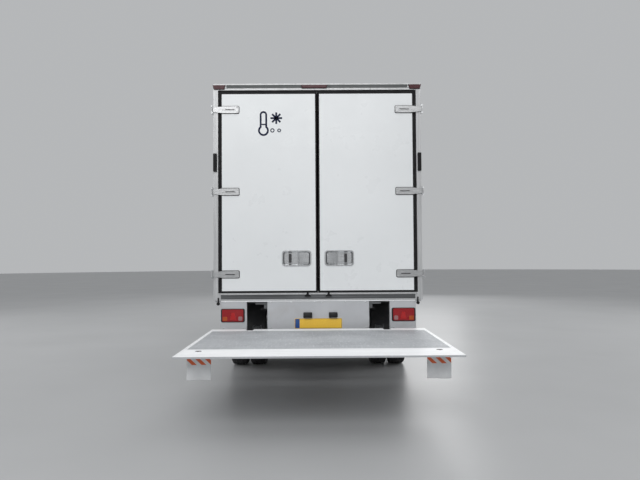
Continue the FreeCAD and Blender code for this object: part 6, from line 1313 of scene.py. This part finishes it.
def wire_ring(radius, centre):
    """A torus about the y axis: a small circle of the wire's radius carried round the ring's."""
    return lathe(disc(WIRE, 8) + [0.0, radius], centre, "y", 40, closed=True)


def spoke(x, turn):
    """A wire across the guard that bows back a millimetre at its middle, at a turn from level."""
    c, s = SPOKE * math.cos(turn), SPOKE * math.sin(turn)
    return tube([(x - c, FAN_FACE - 0.008, FAN_Z - s), (x, FAN_FACE - 0.009, FAN_Z),
                 (x + c, FAN_FACE - 0.008, FAN_Z + s)], WIRE, 6)


well = [(-0.001, 0.0), (-0.001, 0.086), (-0.006, 0.088), (-0.006, 0.096), (0.001, 0.098)]
piece("fan_wells", [lathe(well, (x, FAN_FACE, FAN_Z), "y", 40) for x in FAN_X], "black_plastic", "chassis")
guards = []
for x in FAN_X:
    guards += [wire_ring(radius, (x, FAN_FACE - 0.010, FAN_Z)) for radius in RING_SIZES]
    guards += [spoke(x, turn) for turn in SPOKE_TURNS]
piece("fan_guards", guards, "stainless", "chassis")
print("fan guards", len(FAN_X), "wire rings each", len(RING_SIZES))

# %% [markdown]
# ## Inside the box
#
# Scuff plates protect the walls at pallet height, lashing rails run along them and two
# flat lamps light the ceiling.

# %% Scuff plates, rails and ceiling lamps
BOX_START, SCUFF_END, RAIL_END = reach(0.13), reach(4.56), reach(4.0)
RAIL_HEIGHTS, CEILING_LAMPS = (1.62, 2.22), (1.1, 2.9)

scuff = both_sides([slab((1.071, BOX_START, 1.005), (1.0755, SCUFF_END, 1.255), "x", 0.004, 0.001)])
piece("scuff_plates", scuff, "tread_grey", "chassis")
hat = np.array([[1.0755, 0.0], [1.066, 0.0], [1.063, 0.008], [1.063, 0.032], [1.066, 0.040], [1.0755, 0.040]])
rails = both_sides([loft([hat + [0.0, z]] * 2, [BOX_START, RAIL_END], "y") for z in RAIL_HEIGHTS])
piece("lashing_rails", rails, "anodised", "chassis")
housings = [slab((-0.17, reach(y) - 0.06, 3.199), (0.17, reach(y) + 0.06, 3.2155), "z", 0.02, 0.004)
            for y in CEILING_LAMPS]
piece("ceiling_lamps", housings, "lamp_clear", "chassis")
print("lashing rails a side", len(RAIL_HEIGHTS))

# %% [markdown]
# ## Seats
#
# A stuffed form starts as a ball whose sines and cosines are raised to a small power, which
# pushes it out towards its box. Its sides then pull in between the corners, its face
# crowns, and a narrow dip across it is a sewn channel. The backrest is the same form
# standing up, and both lean on a plastic shell.

# %% A stuffed form
EDGE_POWER, TURN_POWER, FACE_POWER = 0.35, 0.32, 0.55
CHANNEL_HALF, SEAM_AT, SEAM_HALF, SEAM_SHARE, DIP_SHARE = 0.045, 0.62, 0.04, 0.8, 0.13
RIM_HILL, UNDERSIDE = 0.02, 0.96
CUSHION_TOP, BACKREST_SLOPE = 1.38, 0.105


def power(value, exponent):
    """A sine or cosine raised to a power with its sign kept, which squares a circle's corners."""
    return np.sign(value) * np.abs(value) ** exponent


def cushion(low, high, standing, channels, crown=0.10, pull=0.035, steps=(72, 48)):
    """A crowned form in a box. Width and length follow a squared circle, thickness a squared arc. Sides pull
    in by a share that is most half way between corners, and each channel takes a bell curve off the face."""
    low, high = np.asarray(low, float), np.asarray(high, float)
    turn = np.linspace(0, 2 * np.pi, steps[0], endpoint=False)[None, :]
    rise = np.linspace(-np.pi / 2, np.pi / 2, steps[1])[:, None]
    across = power(np.cos(rise), EDGE_POWER) * power(np.cos(turn), TURN_POWER)
    along = power(np.cos(rise), EDGE_POWER) * power(np.sin(turn), TURN_POWER)
    thick = power(np.sin(rise), FACE_POWER) * np.ones_like(turn)
    across, along = across * (1 - pull * (1 - along ** 2)), along * (1 - pull * (1 - across ** 2))
    face = np.clip(thick, 0, 1)
    hill = (1 - across ** 2) * (1 - along ** 2)
    dips = sum(np.exp(-((along - at) / CHANNEL_HALF) ** 2) for at in channels)
    dips = dips + SEAM_SHARE * np.exp(-((np.abs(across) - SEAM_AT) / SEAM_HALF) ** 2)
    upper = thick * (1 - crown) + crown * face * hill - DIP_SHARE * face * dips * (hill > RIM_HILL)
    thick = np.where(thick > 0, upper, thick * UNDERSIDE)
    order = (across, thick, along) if standing else (across, along, thick)
    points = (low + high) / 2 + np.stack(order, -1) * (high - low) / 2
    return grid(points, wrap_columns=True)


def leaned(shape):
    """The shape leaned with the backrest: y moves back by its slope times the height above the cushion."""
    points = shape[0].copy()
    points[:, 1] -= BACKREST_SLOPE * (points[:, 2] - CUSHION_TOP)
    return points, shape[1]


print("a cushion has", len(cushion((0, 0, 0), (1, 1, 1), False, ())[1]), "faces")


# %% Seats
def upholstery():
    """A seat's padded pieces: cushion lying, backrest and headrest standing, each with its sewn channels."""
    cushion_box = (0.453, reach(5.085), 1.258), (0.947, reach(5.546), 1.378)
    backrest_box = (0.468, reach(5.064), 1.385), (0.932, reach(5.170), 1.965)
    headrest_box = (0.565, reach(5.070), 1.990), (0.835, reach(5.160), 2.145)
    return {"seat_cushion_": cushion(*cushion_box, False, (-0.35, 0.25)),
            "seat_backrest_": leaned(cushion(*backrest_box, True, (-0.45, 0.05, 0.5))),
            "seat_headrest_": leaned(cushion(*headrest_box, True, ()))}


shell = [slab((0.470, reach(5.070), 0.961), (0.930, reach(5.450), 1.235), "z", 0.03, 0.006),
         slab((0.455, reach(5.062), 1.232), (0.945, reach(5.530), 1.262), "z", 0.04, 0.006),
         leaned(slab((0.475, reach(5.052), 1.262), (0.925, reach(5.068), 1.975), "y", 0.05, 0.005))]
shell += [leaned(tube([(x, reach(5.110), 1.93), (x, reach(5.110), 2.06)], 0.006)) for x in (0.650, 0.750)]
for side, flip in SIDES:
    piece("seat_shell_" + side, [flip(shape) for shape in shell], "black_plastic", "cab",
          ["cab_seats"] if side == "right" else ())
    for name, shape in upholstery().items():
        piece(name + side, [flip(shape)], "seat_cloth", "cab", smooth=80)
print("seats", len(SIDES), "padded pieces", len(SIDES) * len(upholstery()))

# %% [markdown]
# ## The filler cap
#
# A screw cap closes the fuel tank. It is a short profile turned about a vertical axis, with
# its upper edge eased for the hand.

# %% Filler cap
cap = [(0.028, 0.0), (0.028, 0.020), (0.026, 0.042), (0.020, 0.046), (0.0, 0.046), (0.0, 0.0)]
filler = lathe(cap, (-0.760, reach(3.460), 0.811), "z", 32)
piece("filler_cap", [filler], "black_plastic", "chassis")
print("filler cap across", 2 * 0.046)

# %% Finish
bpy.context.scene.view_settings.view_transform = "Standard"
